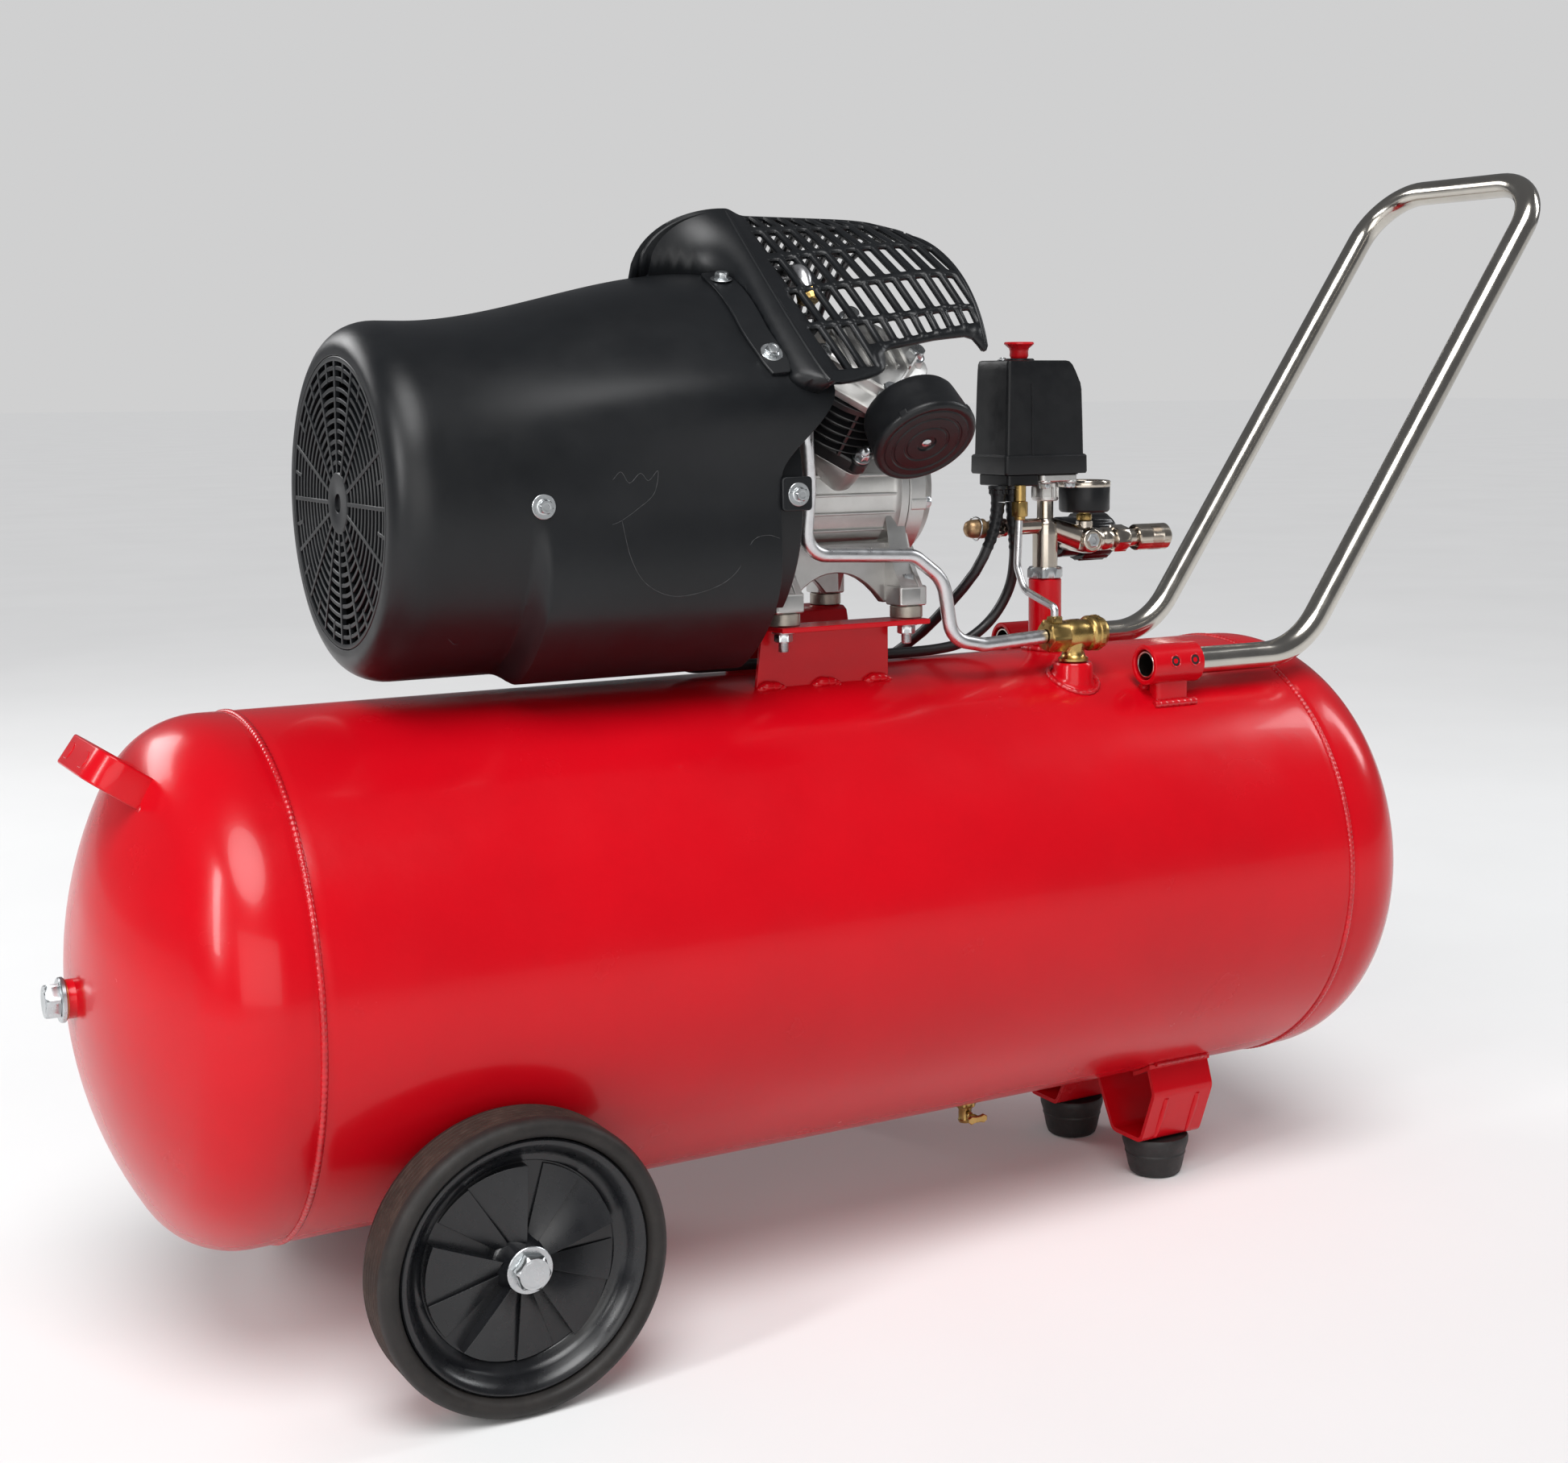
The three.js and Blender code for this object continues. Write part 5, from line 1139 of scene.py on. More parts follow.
def running_gear():
    for name, side, x in BANKS:
        place = bank_place(side, x)
        piston = Part("piston_" + name)
        piston.lathe([(26.4, 88), (29.3, 88.6), (29.35, 104), (28.6, 104.3), (28.6, 106.3), (29.35, 106.6),
                      (29.35, 110), (28.6, 110.3), (28.6, 112.3), (29.35, 112.6), (29.35, 119.4),
                      (28.8, 120),
                      (0, 120)], MACHINED, place, 64)
        piston.lathe([(0, 115), (26.4, 115), (26.4, 88)], MACHINED, place, 64)
        piston.made(replaces=("piston_" + name,), slot="bare_aluminium")
        rod = Part("connecting_rod_" + name, "rod_" + name)
        big = place @ Matrix.Translation((0, -side * PIN_ALONG, PIN_ALONG)) @ at(0, 0, 0, X)
        rod.disc(14, -4.5, 4.5, CAST, big, 64, 0.7, hole=8.5)
        small = place @ Matrix.Translation((0, 0, WRIST)) @ at(0, 0, 0, X)
        rod.disc(8, -4.5, 4.5, CAST, small, 48, 0.6, hole=4.0)
        rod.disc(4, -11, 11, MACHINED, small, 40, 0.5)
        lean = math.asin(PIN_ALONG / ROD)
        shank = (place @ Matrix.Translation((0, -side * PIN_ALONG, PIN_ALONG))
                 @ Matrix.Rotation(-side * lean, 4, "X"))
        rod.block(-1.6, 1.6, -6, 6, 11, ROD - 5, CAST, shank, 0.8, 0.5)
        for y in (-5.2, 5.2):
            rod.block(-3.5, 3.5, y - 0.9, y + 0.9, 10.5, ROD - 5.5, CAST, shank, 0.5, 0.4)
        rod.made(replaces=("connecting_rod_" + name,), slot="cast_aluminium")
    lie = AXIS @ at(0, 0, 0, X)
    crank = Part("crankshaft", "crank")
    crank.disc(9, -326, -6, IRON, lie, 48, 0.8)
    crank.disc(8, 2, 42, MACHINED, Matrix.Translation((0, 0, THROW)) @ lie, 48, 0.8)
    web = [(9, THROW + 9), (18, -4), (20, -24), (-20, -24), (-18, -4), (-9, THROW + 9)]
    crank.prism(web, -8, 4, IRON, AXIS @ ALONG_X, 1.0)
    crank.made(replaces=("crankshaft",), slot="machined_iron")
    rotor = Part("rotor", "crank")
    rotor.disc(42, -250, -140, IRON, lie, 80, 1.0, hole=9.2)
    for k in range(20):
        turn = lie @ Matrix.Rotation(0.314 * k, 4, "Z")
        rotor.block(38, 42.3, -0.7, 0.7, -248, -142, MACHINED, turn, 0.3, 0.2)
    rotor.made(replaces=("rotor",), slot="machined_iron")
    stator = Part("stator")
    stator.disc(76, -240, -150, IRON, lie, 96, 1.0, hole=43.3)
    for x0, x1 in ((-255, -240), (-150, -135)):
        stator.lathe([(47, x0 + 2), (52, x0), (66, x0), (71, x0 + 3), (71, x1), (47, x1)], COPPER, lie, 96,
                     closed=True)
    stator.made(replaces=("stator",), slot="copper")
    fan = Part("cooling_fan", "crank")
    hub = AXIS @ at(-305, 0, 0, X)
    fan.disc(26, -12, 12, BLACK_PLASTIC, hub, 64, 2.0, hole=9.3)
    section = ((-1, -0.9), (-0.3, -1.3), (0.5, -1.2), (1, -0.6), (1, 0.3), (0.3, 0.6), (-0.5, 0.4), (-1, 0))
    for k in range(7):
        turn = AXIS @ Matrix.Translation((-305, 0, 0)) @ Matrix.Rotation(2 * math.pi * k / 7, 4, "X")
        rings = []
        for j in range(9):
            z = 24 + 7.5 * j
            pitch = 0.75 - 0.02 * j
            half = 9 + 0.35 * j
            ring = []
            for u, v in section:
                px, py = u * half, v * 1.1 + 1.6 * (1 - u * u)
                ring.append((px * math.cos(pitch) - py * math.sin(pitch),
                             px * math.sin(pitch) + py * math.cos(pitch), z))
            rings.append(ring)
        fan.rings(rings, BLACK_PLASTIC, turn)
    fan.made(replaces=("cooling_fan",), slot="gloss_plastic")


running_gear()


# ---------------------------------------------------------------- motor shroud
SHROUD_LEFT, SHROUD_RIGHT, SHROUD_R, GRILLE_R = -345.0, -46.0, 124.0, 100.0


def ease(t):
    u = min(1.0, max(0.0, t))
    return u * u * (3 - 2 * u)


def shroud_radius(x, angle):
    """Distance of the shroud's outer skin from its axis; angle is from the top."""
    a = abs(angle)
    corner = min(1.0, (x - SHROUD_LEFT) / 28)
    barrel = SHROUD_R - 20 + 20 * math.sqrt(max(0.0, 1 - (1 - corner) ** 2))
    grow = ease((x + 300) / 220)
    roof = 36 * max(0.0, math.cos(a)) ** 2
    shoulder = 15 * math.exp(-(((a - 1.05) / 0.27) ** 2))
    skirt = 15 * ease((x + 254) / 13) * ease((a - 1.58) / 0.6) * ease((2.98 - a) / 0.3)
    return barrel + grow * (roof + shoulder) + skirt


def shroud_point(x, angle, lift=0.0):
    r = shroud_radius(x, angle) + lift
    return Vector((x, -r * math.sin(angle), SHAFT_Z + r * math.cos(angle)))


def shroud():
    part = Part("motor_shroud")
    count = 168
    stations = [SHROUD_LEFT, SHROUD_LEFT + 0.05]
    stations += [SHROUD_LEFT + 28 * (1 - math.cos(math.pi / 2 * k / 10)) for k in range(1, 11)]
    x = stations[-1] + 5
    while x < SHROUD_RIGHT - 2:
        stations.append(x)
        x += 5 if not -258 < x < -232 else 2.2
    stations.append(SHROUD_RIGHT)

    def ring(x, cutback=0.0):
        points = []
        for i in range(count):
            a = 2 * math.pi * i / count
            signed = a if a <= math.pi else a - 2 * math.pi
            # The open edge reaches further right under the guard than beside the crankcase.
            share = ease((x + 130) / (SHROUD_RIGHT + 130))
            reach = share * (42 * ease((1.45 - abs(signed)) / 0.42) - 22)
            points.append(shroud_point(x + reach, signed, -cutback))
        return points

    hole = [Vector((SHROUD_LEFT, -(GRILLE_R + 0.4) * math.sin(2 * math.pi * i / count),
                    SHAFT_Z + (GRILLE_R + 0.4) * math.cos(2 * math.pi * i / count))) for i in range(count)]
    deep = [Vector((SHROUD_LEFT + 3.4, p.y, p.z)) for p in hole]
    inner = [ring(x, 3.0) for x in reversed(stations[6:])]
    rings = [deep, hole, *[ring(x) for x in stations], *inner]
    part.rings(rings, BLACK_MOULDING, closed=True)
    # A tab on each side carries the screw that holds the shroud to the crankcase.
    for side in (-1, 1):
        part.prism(rounded_rect(12, 12, 3, 4), -3.2, 0, BLACK_MOULDING,
                   Matrix(((1, 0, 0, -57), (0, 0, side, side * 127.6), (0, 1, 0, 580), (0, 0, 0, 1))), 0.7)
        # The moulding steps inwards beside the crankcase.
        collar = []
        for k in range(25):
            a = 1.0 + 1.32 * k / 24
            collar.append([Vector((x, -side * q * math.sin(a), SHAFT_Z + q * math.cos(a)))
                           for x, q in ((-92, 119), (-48, 119), (-46.5, 117.5), (-46.5, 115), (-92, 115))])
        part.rings(collar, BLACK_MOULDING)
    part.made(angle=34, bevel=0.6, replaces=("motor_shroud",), slot="black_plastic")

    fasteners = Part("shroud_screws")
    for side in (-1, 1):
        for x, angle in ((-246, 1.572), (-56, 1.55)):
            surface_at = shroud_point(x, angle)
            y = side * (abs(surface_at.y) + (0.2 if x < -100 else 2.6))
            screw(fasteners, at(x, y, surface_at.z, (0, side, 0)), 8.6, 8.4, 6.0)
    fasteners.made(slot="zinc")


def grille():
    part = Part("fan_grille")
    lie = AXIS @ at(SHROUD_LEFT, 0, 0, X)
    part.lathe([(6.5, 0.4), (7.2, 0), (20.4, 0), (21.4, 0.8), (21.4, 3.2), (6.5, 3.2)], BLACK_MOULDING,
               lie, 72,
               closed=True)
    part.lathe([(0, 2.2), (7, 2.2), (7, 3.0), (0, 3.0)], BLACK_MOULDING, lie, 48)
    part.lathe([(96.6, 0.3), (97.2, 0), (99.4, 0), (99.9, 0.4), (99.9, 4.2), (96.6, 4.2)],
               BLACK_MOULDING, lie,
               128, closed=True)
    for k in range(10):
        r = 26.6 + 7.1 * k
        part.lathe([(r, 0.9), (r + 0.3, 0.6), (r + 2.5, 0.6), (r + 2.8, 0.9), (r + 2.8, 3.4), (r, 3.4)],
                   BLACK_MOULDING, lie, 112, closed=True)
    for k in range(16):
        turn = lie @ Matrix.Rotation(math.pi / 8 * k, 4, "Z")
        part.block(20.5, 97, -1.4, 1.4, 0.1, 3.6, BLACK_MOULDING, turn, 0.4, 0.3)
        half = lie @ Matrix.Rotation(math.pi / 8 * (k + 0.5), 4, "Z")
        part.block(83, 97, -1.3, 1.3, 0.3, 3.2, BLACK_MOULDING, half, 0.4, 0.3)
    part.made(replaces=("fan_grille",), slot="black_plastic")


def scratches():
    """Light scuffs and one long scratch on the near side of the shroud."""
    part = Part("shroud_scratches")
    marks = [[(-196, 1.44), (-190, 1.40), (-184, 1.46), (-176, 1.41), (-170, 1.45), (-163, 1.40),
              (-166, 1.52),
              (-178, 1.60), (-190, 1.66), (-197, 1.68)],
             [(-190, 1.66), (-184, 1.86), (-172, 1.99), (-150, 2.06), (-122, 2.03), (-104, 1.95),
              (-92, 1.80),
              (-80, 1.77), (-70, 1.79)],
             [(-301, 2.35), (-296, 2.40), (-292, 2.41)]]
    for mark in marks:
        line = smooth_line([shroud_point(x, a, 0.02) for x, a in mark], 6)
        part.tube(line, [0.06 + 0.13 * abs(math.sin(1.7 * i)) for i in range(len(line))], SCRATCH, 5)
    part.made(slot="black_plastic")


shroud()
grille()
scratches()


# ---------------------------------------------------------------- slotted head guard
DOME, CREST, GUARD_END, GUARD_BASE, RISE, HALF, TAPER = -126.0, -46.0, 101.0, 81.0, 125.0, 144.0, 10.0
HALF_ARCH = 212.0                # length of the arch from its crown to its lower edge
END_V = 181.0                    # where the open end's edge reaches the side's cut-out
END_STEPS, DOME_STEPS = 80, 110
SLOT_COLUMNS, FIRST_SLOT, SLOT_PITCH, SLOT_WIDTH = 11, -30.0, 12.0, 7.4
# For each row: where its slots start and stop over the arch, at the first column and at the last.
SLOT_ROWS = ((8, 10, 38, 34), (46, 34, 71, 68), (77, 71, 102, 104), (105, 110, 131, 141),
             (135, 145, 180, 159))


def ridge_x(v):
    """The ridge where the guard's smooth shoulder turns into the slotted roof."""
    return CREST + 9 * (abs(v) / HALF_ARCH) ** 3


def dome_x(v):
    """Where the guard's smooth shoulder meets the shroud."""
    v = abs(v)
    return DOME + 64 * (1 - math.exp(-(v / 40) ** 1.6)) + 20 * ease((v - 174) / 38)


def guard_point(x, v, lift=0.0):
    """v runs over the arch, from its crown to its lower edges; the arch is roof-like at its crest."""
    along = min(1.0, max(0.0, (x - CREST) / (GUARD_END - CREST)))
    power = 2 - along
    half = HALF - TAPER * along + lift
    ridge = ridge_x(v)
    step = 5 * ease((x - ridge) / 15)
    rise = RISE + 3 - step - 11 * max(0.0, 2 * along - 1) ** 4 + lift
    a = math.pi / 2 * (1 - v / HALF_ARCH)
    across, up = math.cos(a), max(0.0, math.sin(a))
    y = half * math.copysign(abs(across) ** power, across)
    z = GUARD_BASE + rise * up ** power
    if x < ridge:
        reach = min(1.0, (ridge - x) / (ridge - dome_x(v)))
        angle, radius = math.atan2(-y, z), math.hypot(y, z)
        skin = shroud_radius(x, angle) - 3.0 + lift
        radius = skin + max(0.0, radius - skin) * math.sqrt(1 - reach ** 1.8)
        y, z = -radius * math.sin(angle), radius * math.cos(angle)
    return Vector((x, y, SHAFT_Z + z))


def slot_outline(x, width, v0, v1, side):
    """A slot with rounded corners, cut short where it would come near the ridge."""
    r = 1.3
    points = []
    for cx, cv, start in ((x + width / 2 - r, v1 - r, 0), (x - width / 2 + r, v1 - r, 90),
                          (x - width / 2 + r, v0 + r, 180), (x + width / 2 - r, v0 + r, 270)):
        points += arc((cx, cv), r, start, start + 90, 2)
    clipped = []
    for px, pv in points:
        px += 4 * (pv - v0) / 30
        limit = ridge_x(pv) + 15 - 8 * pv / HALF_ARCH
        clipped.append((max(px, limit), side * pv))
    return clipped


def guard_outline():
    """The guard's edge on the flat: near side, open end, far side and the line on the shroud."""
    near_edge = [(dome_x(HALF_ARCH), -HALF_ARCH), (-33, -210), (4, -190.5), (9, -187), (11.5, -182),
                 (14, -168), (16.5, -164.5), (22, -163.5), (58, -165), (84, -168.5), (90, -172),
                 (94, -179), (96.5, -184), (99, -185), (GUARD_END, -END_V)]
    outline = []
    for (xa, va), (xb, vb) in zip(near_edge, near_edge[1:]):
        steps = max(1, int(math.hypot(xb - xa, vb - va) / 5))
        outline += [(xa + (xb - xa) * k / steps, va + (vb - va) * k / steps) for k in range(steps)]
    near = list(outline)
    outline += [(GUARD_END, -END_V + 2 * END_V * k / END_STEPS) for k in range(END_STEPS)]
    outline += [(x, -v) for x, v in reversed(near)]
    across = [HALF_ARCH - 2 * HALF_ARCH * k / DOME_STEPS for k in range(1, DOME_STEPS)]
    return outline + [(dome_x(v), v) for v in across]


def guard_slots():
    """The slots on the flat; those that the ridge leaves too narrow are dropped."""
    slots = []
    for side in (-1, 1):
        for row, (near_v0, far_v0, near_v1, far_v1) in enumerate(SLOT_ROWS):
            for column in range(SLOT_COLUMNS):
                share = column / (SLOT_COLUMNS - 1)
                v0 = near_v0 + (far_v0 - near_v0) * share
                v1 = near_v1 + (far_v1 - near_v1) * share
                if row == len(SLOT_ROWS) - 1:
                    v1 = near_v1 if column < 3 else far_v1 - 2 + 2 * share
                outline = slot_outline(FIRST_SLOT + SLOT_PITCH * column, SLOT_WIDTH, v0, v1, side)
                if max(p[0] for p in outline) - min(p[0] for p in outline) > 4.0:
                    slots.append(outline)
    return slots


def inside(point, loop):
    """Whether a flat point lies within a closed outline."""
    x, y = point[0], point[1]
    hit = False
    for (xa, ya), (xb, yb) in zip(loop, loop[1:] + loop[:1]):
        if (ya > y) != (yb > y) and x < (xb - xa) * (y - ya) / (yb - ya) + xa:
            hit = not hit
    return hit


def guard():
    boundary = guard_outline()
    slots = guard_slots()
    verts, edges, seen = [], [], {}

    def add(point):
        key = (round(point[0], 3), round(point[1], 3))
        if key not in seen:
            seen[key] = len(verts)
            verts.append(Vector(point))
        return seen[key]

    for loop in [boundary, *slots]:
        ids = [add(p) for p in loop]
        edges += [(a, b) for a, b in zip(ids, ids[1:] + ids[:1]) if a != b]
    boxes = [(min(p[0] for p in s) - 1.2, max(p[0] for p in s) + 1.2, min(p[1] for p in s) - 1.2,
              max(p[1] for p in s) + 1.2, s) for s in slots]
    for i in range(55):
        for j in range(98):
            x, v = DOME + 1 + 4.1 * i + (2 if j % 2 else 0), -209.7 + 4.32 * j
            if x > GUARD_END - 2 or x < dome_x(v) + 2 or not inside((x, v), boundary):
                continue
            # Near the side's cut-out and in its tongue the outline's own points are enough.
            if abs(v) > 206 - 0.52 * max(0.0, x + 33) or (x > 8 and abs(v) > 161):
                continue
            if not any(b[0] < x < b[1] and b[2] < v < b[3] for b in boxes):
                add((x, v))
    points, _, triangles, *_ = geometry.delaunay_2d_cdt(verts, edges, [], 0, 1e-4)
    kept = []
    for f in triangles:
        c = sum((points[i] for i in f), Vector((0, 0))) / len(f)
        if inside(c, boundary) and not any(b[0] < c[0] < b[1] and b[2] < c[1] < b[3] and inside(c, b[4])
                                           for b in boxes):
            kept.append(tuple(f))
    used = sorted({i for f in kept for i in f})
    place = {old: new for new, old in enumerate(used)}
    part = Part("head_guard")
    part.put([guard_point(points[i].x, points[i].y) for i in used],
             [tuple(place[i] for i in f) for f in kept], BLACK_MOULDING)
    bmesh.ops.recalc_face_normals(part.bm, faces=part.bm.faces)
    # The skin is thickened inwards, so the faces of its roof have to look up.
    roof = [f for f in part.bm.faces if f.calc_center_median().z > 740]
    if sum(f.normal.z * f.calc_area() for f in roof) < 0:
        bmesh.ops.reverse_faces(part.bm, faces=part.bm.faces)
    part.made(solidify=3.6, angle=32, replaces=("head_guard",), slot="black_plastic")

    rim = Part("guard_ridge")
    rim.tube([guard_point(ridge_x(v), v, -2.6) for v in range(-206, 207, 8)], 2.6, BLACK_MOULDING, 14)
    rim.tube([guard_point(GUARD_END - 1.6, v, -1.8) for v in range(-178, 179, 5)], 2.2, BLACK_MOULDING, 12)
    rim.made(slot="black_plastic")


def guard_strap(name, side):
    """A moulded strap over the joint between the shroud and the guard, with two screws."""
    strap = Part("guard_strap_" + name)
    steps = 20
    frames = []
    for i in range(steps + 1):
        angle = 0.16 + 0.80 * i / steps
        x = -72 + 5 * ease((i - 12) / 8)
        frames.append((shroud_point(x, angle, 0.6), Vector((-0.1, -math.sin(angle), math.cos(angle)))))
    rings = []
    for i, (p, out) in enumerate(frames):
        before, after = frames[max(0, i - 1)][0], frames[min(steps, i + 1)][0]
        along = (after - before).normalized()
        across = along.cross(out).normalized()
        rounding = max(0.0, 1 - min(i, steps - i) / 2.5)
        width = 10.5 * (1 - 0.35 * rounding ** 2)
        rings.append([p + across * (width * u) + out * w for u, w in
                      ((-1, -4.0), (-1, 2.0), (-0.92, 2.8), (0.92, 2.8), (1, 2.0), (1, -4.0))])
    flip = Matrix.Identity(4) if side < 0 else Matrix.Scale(-1, 4, (0, 1, 0))
    strap.rings(rings, BLACK_MOULDING, flip)
    strap.made(bevel=0.6, slot="black_plastic")
    screws = Part("guard_screws_" + name)
    for i in (3, steps - 3):
        p, out = frames[i]
        p = p + out * 2.8
        aim = (out.x, out.y * -side, out.z)
        screw(screws, at(p.x, p.y * -side, p.z, aim), 8.6, 8.0, 5.6)
    screws.made(slot="zinc")


guard()
guard_strap("near", -1)
guard_strap("far", 1)


# ---------------------------------------------------------------- air pipes
PIPE_R = 5.5
DISCHARGE = [(-33, -98, 642), (-33, -97, 616), (-26, -88, 582), (-26, -80, 533), (70, -76, 528),
             (98, -74, 508), (106, -73, 462), (135, -73, 456), (192, -73, VALVE_Z)]
pipe = Part("discharge_tube")
pipe.tube(rounded_line(DISCHARGE, [16, 16, 20, 22, 30, 20, 20], 9), PIPE_R, TUBE_ALUMINIUM, 28)
pipe.lathe([(0, 0), (7.4, 0), (7.8, 1), (7.8, 9), (6.2, 11), (0, 11)], TUBE_ALUMINIUM,
           at(-33, -98, 638, (0, 0.05, -0.99)), 40)
pipe.made(replaces=("discharge_tube",), slot="bare_aluminium")
pipe = Part("crossover_tube")
pipe.tube(rounded_line([(-14, -70, 716), (-14, -60, 738), (-14, 60, 738), (-14, 70, 716)], [12, 12], 8),
          PIPE_R, TUBE_ALUMINIUM, 28)
for cross_side in (-1, 1):
    pipe.hexagon(15, 0, 9, BRASS, at(-14, cross_side * 70, 715.5, (0, -cross_side * 0.42, 0.91)), hole=0)
pipe.made(replaces=("crossover_tube",), slot="bare_aluminium")
UNLOADER = [(204, -22, 561.5), (200, -24, 510), (200, -34, 492), (202, VALVE_Y, 481),
            (202, VALVE_Y, VALVE_Z + 15.3)]
pipe = Part("unloader_tube")
pipe.tube(rounded_line(UNLOADER, [16, 16, 4], 9), 3, TUBE_ALUMINIUM, 24)
pipe.hexagon(12, -12, 0, BRASS, at(203.8, -22.1, 562), roll=0.3)
pipe.disc(4.4, -15, -11.5, BRASS, at(203.8, -22.1, 562), 32, 0.6)
pipe.made(replaces=("unloader_tube",), slot="bare_aluminium")


def check_valve():
    valve = Part("check_valve")
    place = at(VALVE_X, VALVE_Y, VALVE_Z)
    valve.lathe([(0, -27), (5.4, -27), (5.4, -21.6), (10.6, -21.6), (12.0, -20.6), (12.0, -18.8),
                 (9.8, -17.2),
                 (9.0, -15), (9.0, -11), (10.2, -8), (10.2, 0), (0, 0)], BRASS, place, 64)
    lie = place @ at(0, 0, 0, X)
    valve.lathe([(0, -9), (10.6, -9), (11.6, -6.4), (12.0, -2), (12.0, 5), (11.2, 8.4), (11.4, 11.6),
                 (13.2, 12.6),
                 (14.0, 13.8), (14.0, 16.6), (13.0, 17.6), (13.0, 18.2), (14.0, 19.2), (14.0, 22.6),
                 (13.0, 23.6),
                 (12.8, 24.6), (12.2, 26.4), (9.6, 27.2), (0, 27.2)], BRASS, lie, 72)
    for turn in around(lie, 24):
        valve.block(12.8, 14.4, -0.5, 0.5, 19.4, 22.4, BRASS, turn, 0.2, 0.2)
    valve.hexagon(23, -27, -8.6, BRASS, lie, roll=0.2, chamfer=1.6, hole=PIPE_R + 0.1)
    lean = place @ at(-18, 0, 3, (0.0, 0.0, 1))
    valve.hexagon(12, 3.0, 12.0, BRASS, lean, roll=0.35, chamfer=0.8)
    valve.disc(4.6, -1, 12.4, BRASS, lean, 32, 0.6)
    valve.made(replaces=("check_valve",), slot="brass")


check_valve()


# ---------------------------------------------------------------- air controls
OUTLET_X, OUTLET_Z, MANIFOLD_Z = 283.5, 527.0, 540.0


def manifold():
    part = Part("manifold")
    up = at(RISER_X, 0, 0)
    part.hexagon(27, RISER_TOP + 0.3, RISER_TOP + 9.5, ZINC, up, roll=0.3, chamfer=1.4)
    part.lathe([(0, RISER_TOP + 8), (10.3, RISER_TOP + 8), (10.3, 533), (10.0, 541), (9.2, 543.5),
                (7.4, 545),
                (6.75, 547), (6.75, 563), (0, 563)], NICKEL, up, 64)
    part.lathe([(0, 560.6), (9.6, 560.6), (10.6, 561.4), (10.9, 564), (0, 564)], CAST, up, 48)
    part.hexagon(19.5, 563, 575.7, CAST, up, roll=0.2, chamfer=0.8)
    for k in range(8):
        part.block(8.6, 11.4, -0.9, 0.9, 562.5, 572, CAST, up @ Matrix.Rotation(math.pi / 4 * k, 4, "Z"),
                   0.4, 0.4)
    left = at(RISER_X, 0, MANIFOLD_Z, NX)
    part.lathe([(0, 0), (6.4, 0), (6.4, 36), (6.0, 37), (6.0, 39.4), (7.4, 40.2), (7.4, 44), (0, 44)],
               NICKEL, left, 56)
    part.hexagon(14, 43.6, 53.6, NICKEL, left, roll=0.4, chamfer=0.8)
    slope = math.atan2(MANIFOLD_Z - OUTLET_Z, OUTLET_X - RISER_X)
    arm = Matrix.Translation((RISER_X, 0, MANIFOLD_Z)) @ at(0, 0, 0, (math.cos(slope), 0, -math.sin(slope)))
    part.lathe([(0, 0), (8.2, 0), (8.6, 10), (9.6, 30), (10.4, 41), (0, 41)], NICKEL, arm, 64)
    hub = at(OUTLET_X, 0, OUTLET_Z, NY)
    part.lathe([(0, -26), (9.4, -26), (10.2, -24.4), (10.6, -8), (11.2, 0), (10.6, 8), (9.6, 12.2),
                (8.8, 13.0),
                (7.6, 13.2), (7.2, 12.4), (0, 12.4)], NICKEL, hub, 64)
    part.lathe([(0, 12.4), (6.4, 12.4), (6.4, 13.4), (5.6, 14.0), (3.4, 14.0), (3.0, 13.2), (0, 13.0)],
               ZINC, hub, 6)
    post = at(OUTLET_X, 0, OUTLET_Z)
    part.lathe([(0, 8), (6.9, 8), (6.9, 15.4), (6.4, 16), (0, 16)], NICKEL, post, 48)
    out = at(OUTLET_X, 0, OUTLET_Z, X)
    part.lathe([(0, 8), (9.6, 9), (9.6, 13), (8.6, 14.4), (8.6, 16), (9.6, 17.4), (9.4, 24), (8.0, 26),
                (8.0, 28.4),
                (0, 28.4)], NICKEL, out, 64)
    part.hexagon(20, 28, 42, NICKEL, out, roll=0.25, chamfer=1.4)
    part.lathe([(4.9, 60), (4.9, 86), (6.2, 86.5), (7.5, 86.4), (7.5, 41), (0, 41), (0, 60)][::-1], NICKEL,
               out, 56)
    part.lathe([(7.2, 41.6), (9.0, 42.1), (9.0, 43.6), (7.2, 44.2)], NICKEL, out, 56, closed=True)
    base = at(OUTLET_X, 38, OUTLET_Z, X)
    part.lathe([(0, -2), (15.2, -2), (17, 0), (17, 17.6), (0, 17.6)], GLOSS_BLACK, base, 72)
    part.lathe([(0, -2), (11, -2), (11, -14), (0, -14)], BLACK_PLASTIC, base, 48)
    part.made(bevel=0.0, replaces=("manifold",), slot="nickel")

    sleeve = Part("coupler_sleeve", "coupler_sleeve")
    grip = at(RISER_X, 0, OUTLET_Z, X)
    profile = [(8.0, 91.4), (10.2, 91.0), (11, 91.8), (11, 103.6), (10.5, 104.2)]
    for k in range(7):
        x = 104.8 + 1.4 * k
        profile += [(10.5, x), (11.0, x + 0.35), (11.0, x + 0.8), (10.5, x + 1.15)]
    profile += [(10.5, 114.8), (11, 115.4), (11, 122.4), (9.6, 123.9), (8.6, 123.9), (8.0, 123.0)]
    sleeve.lathe(profile, NICKEL, grip, 72, closed=True)
    sleeve.made(replaces=("coupler_sleeve",), slot="nickel")

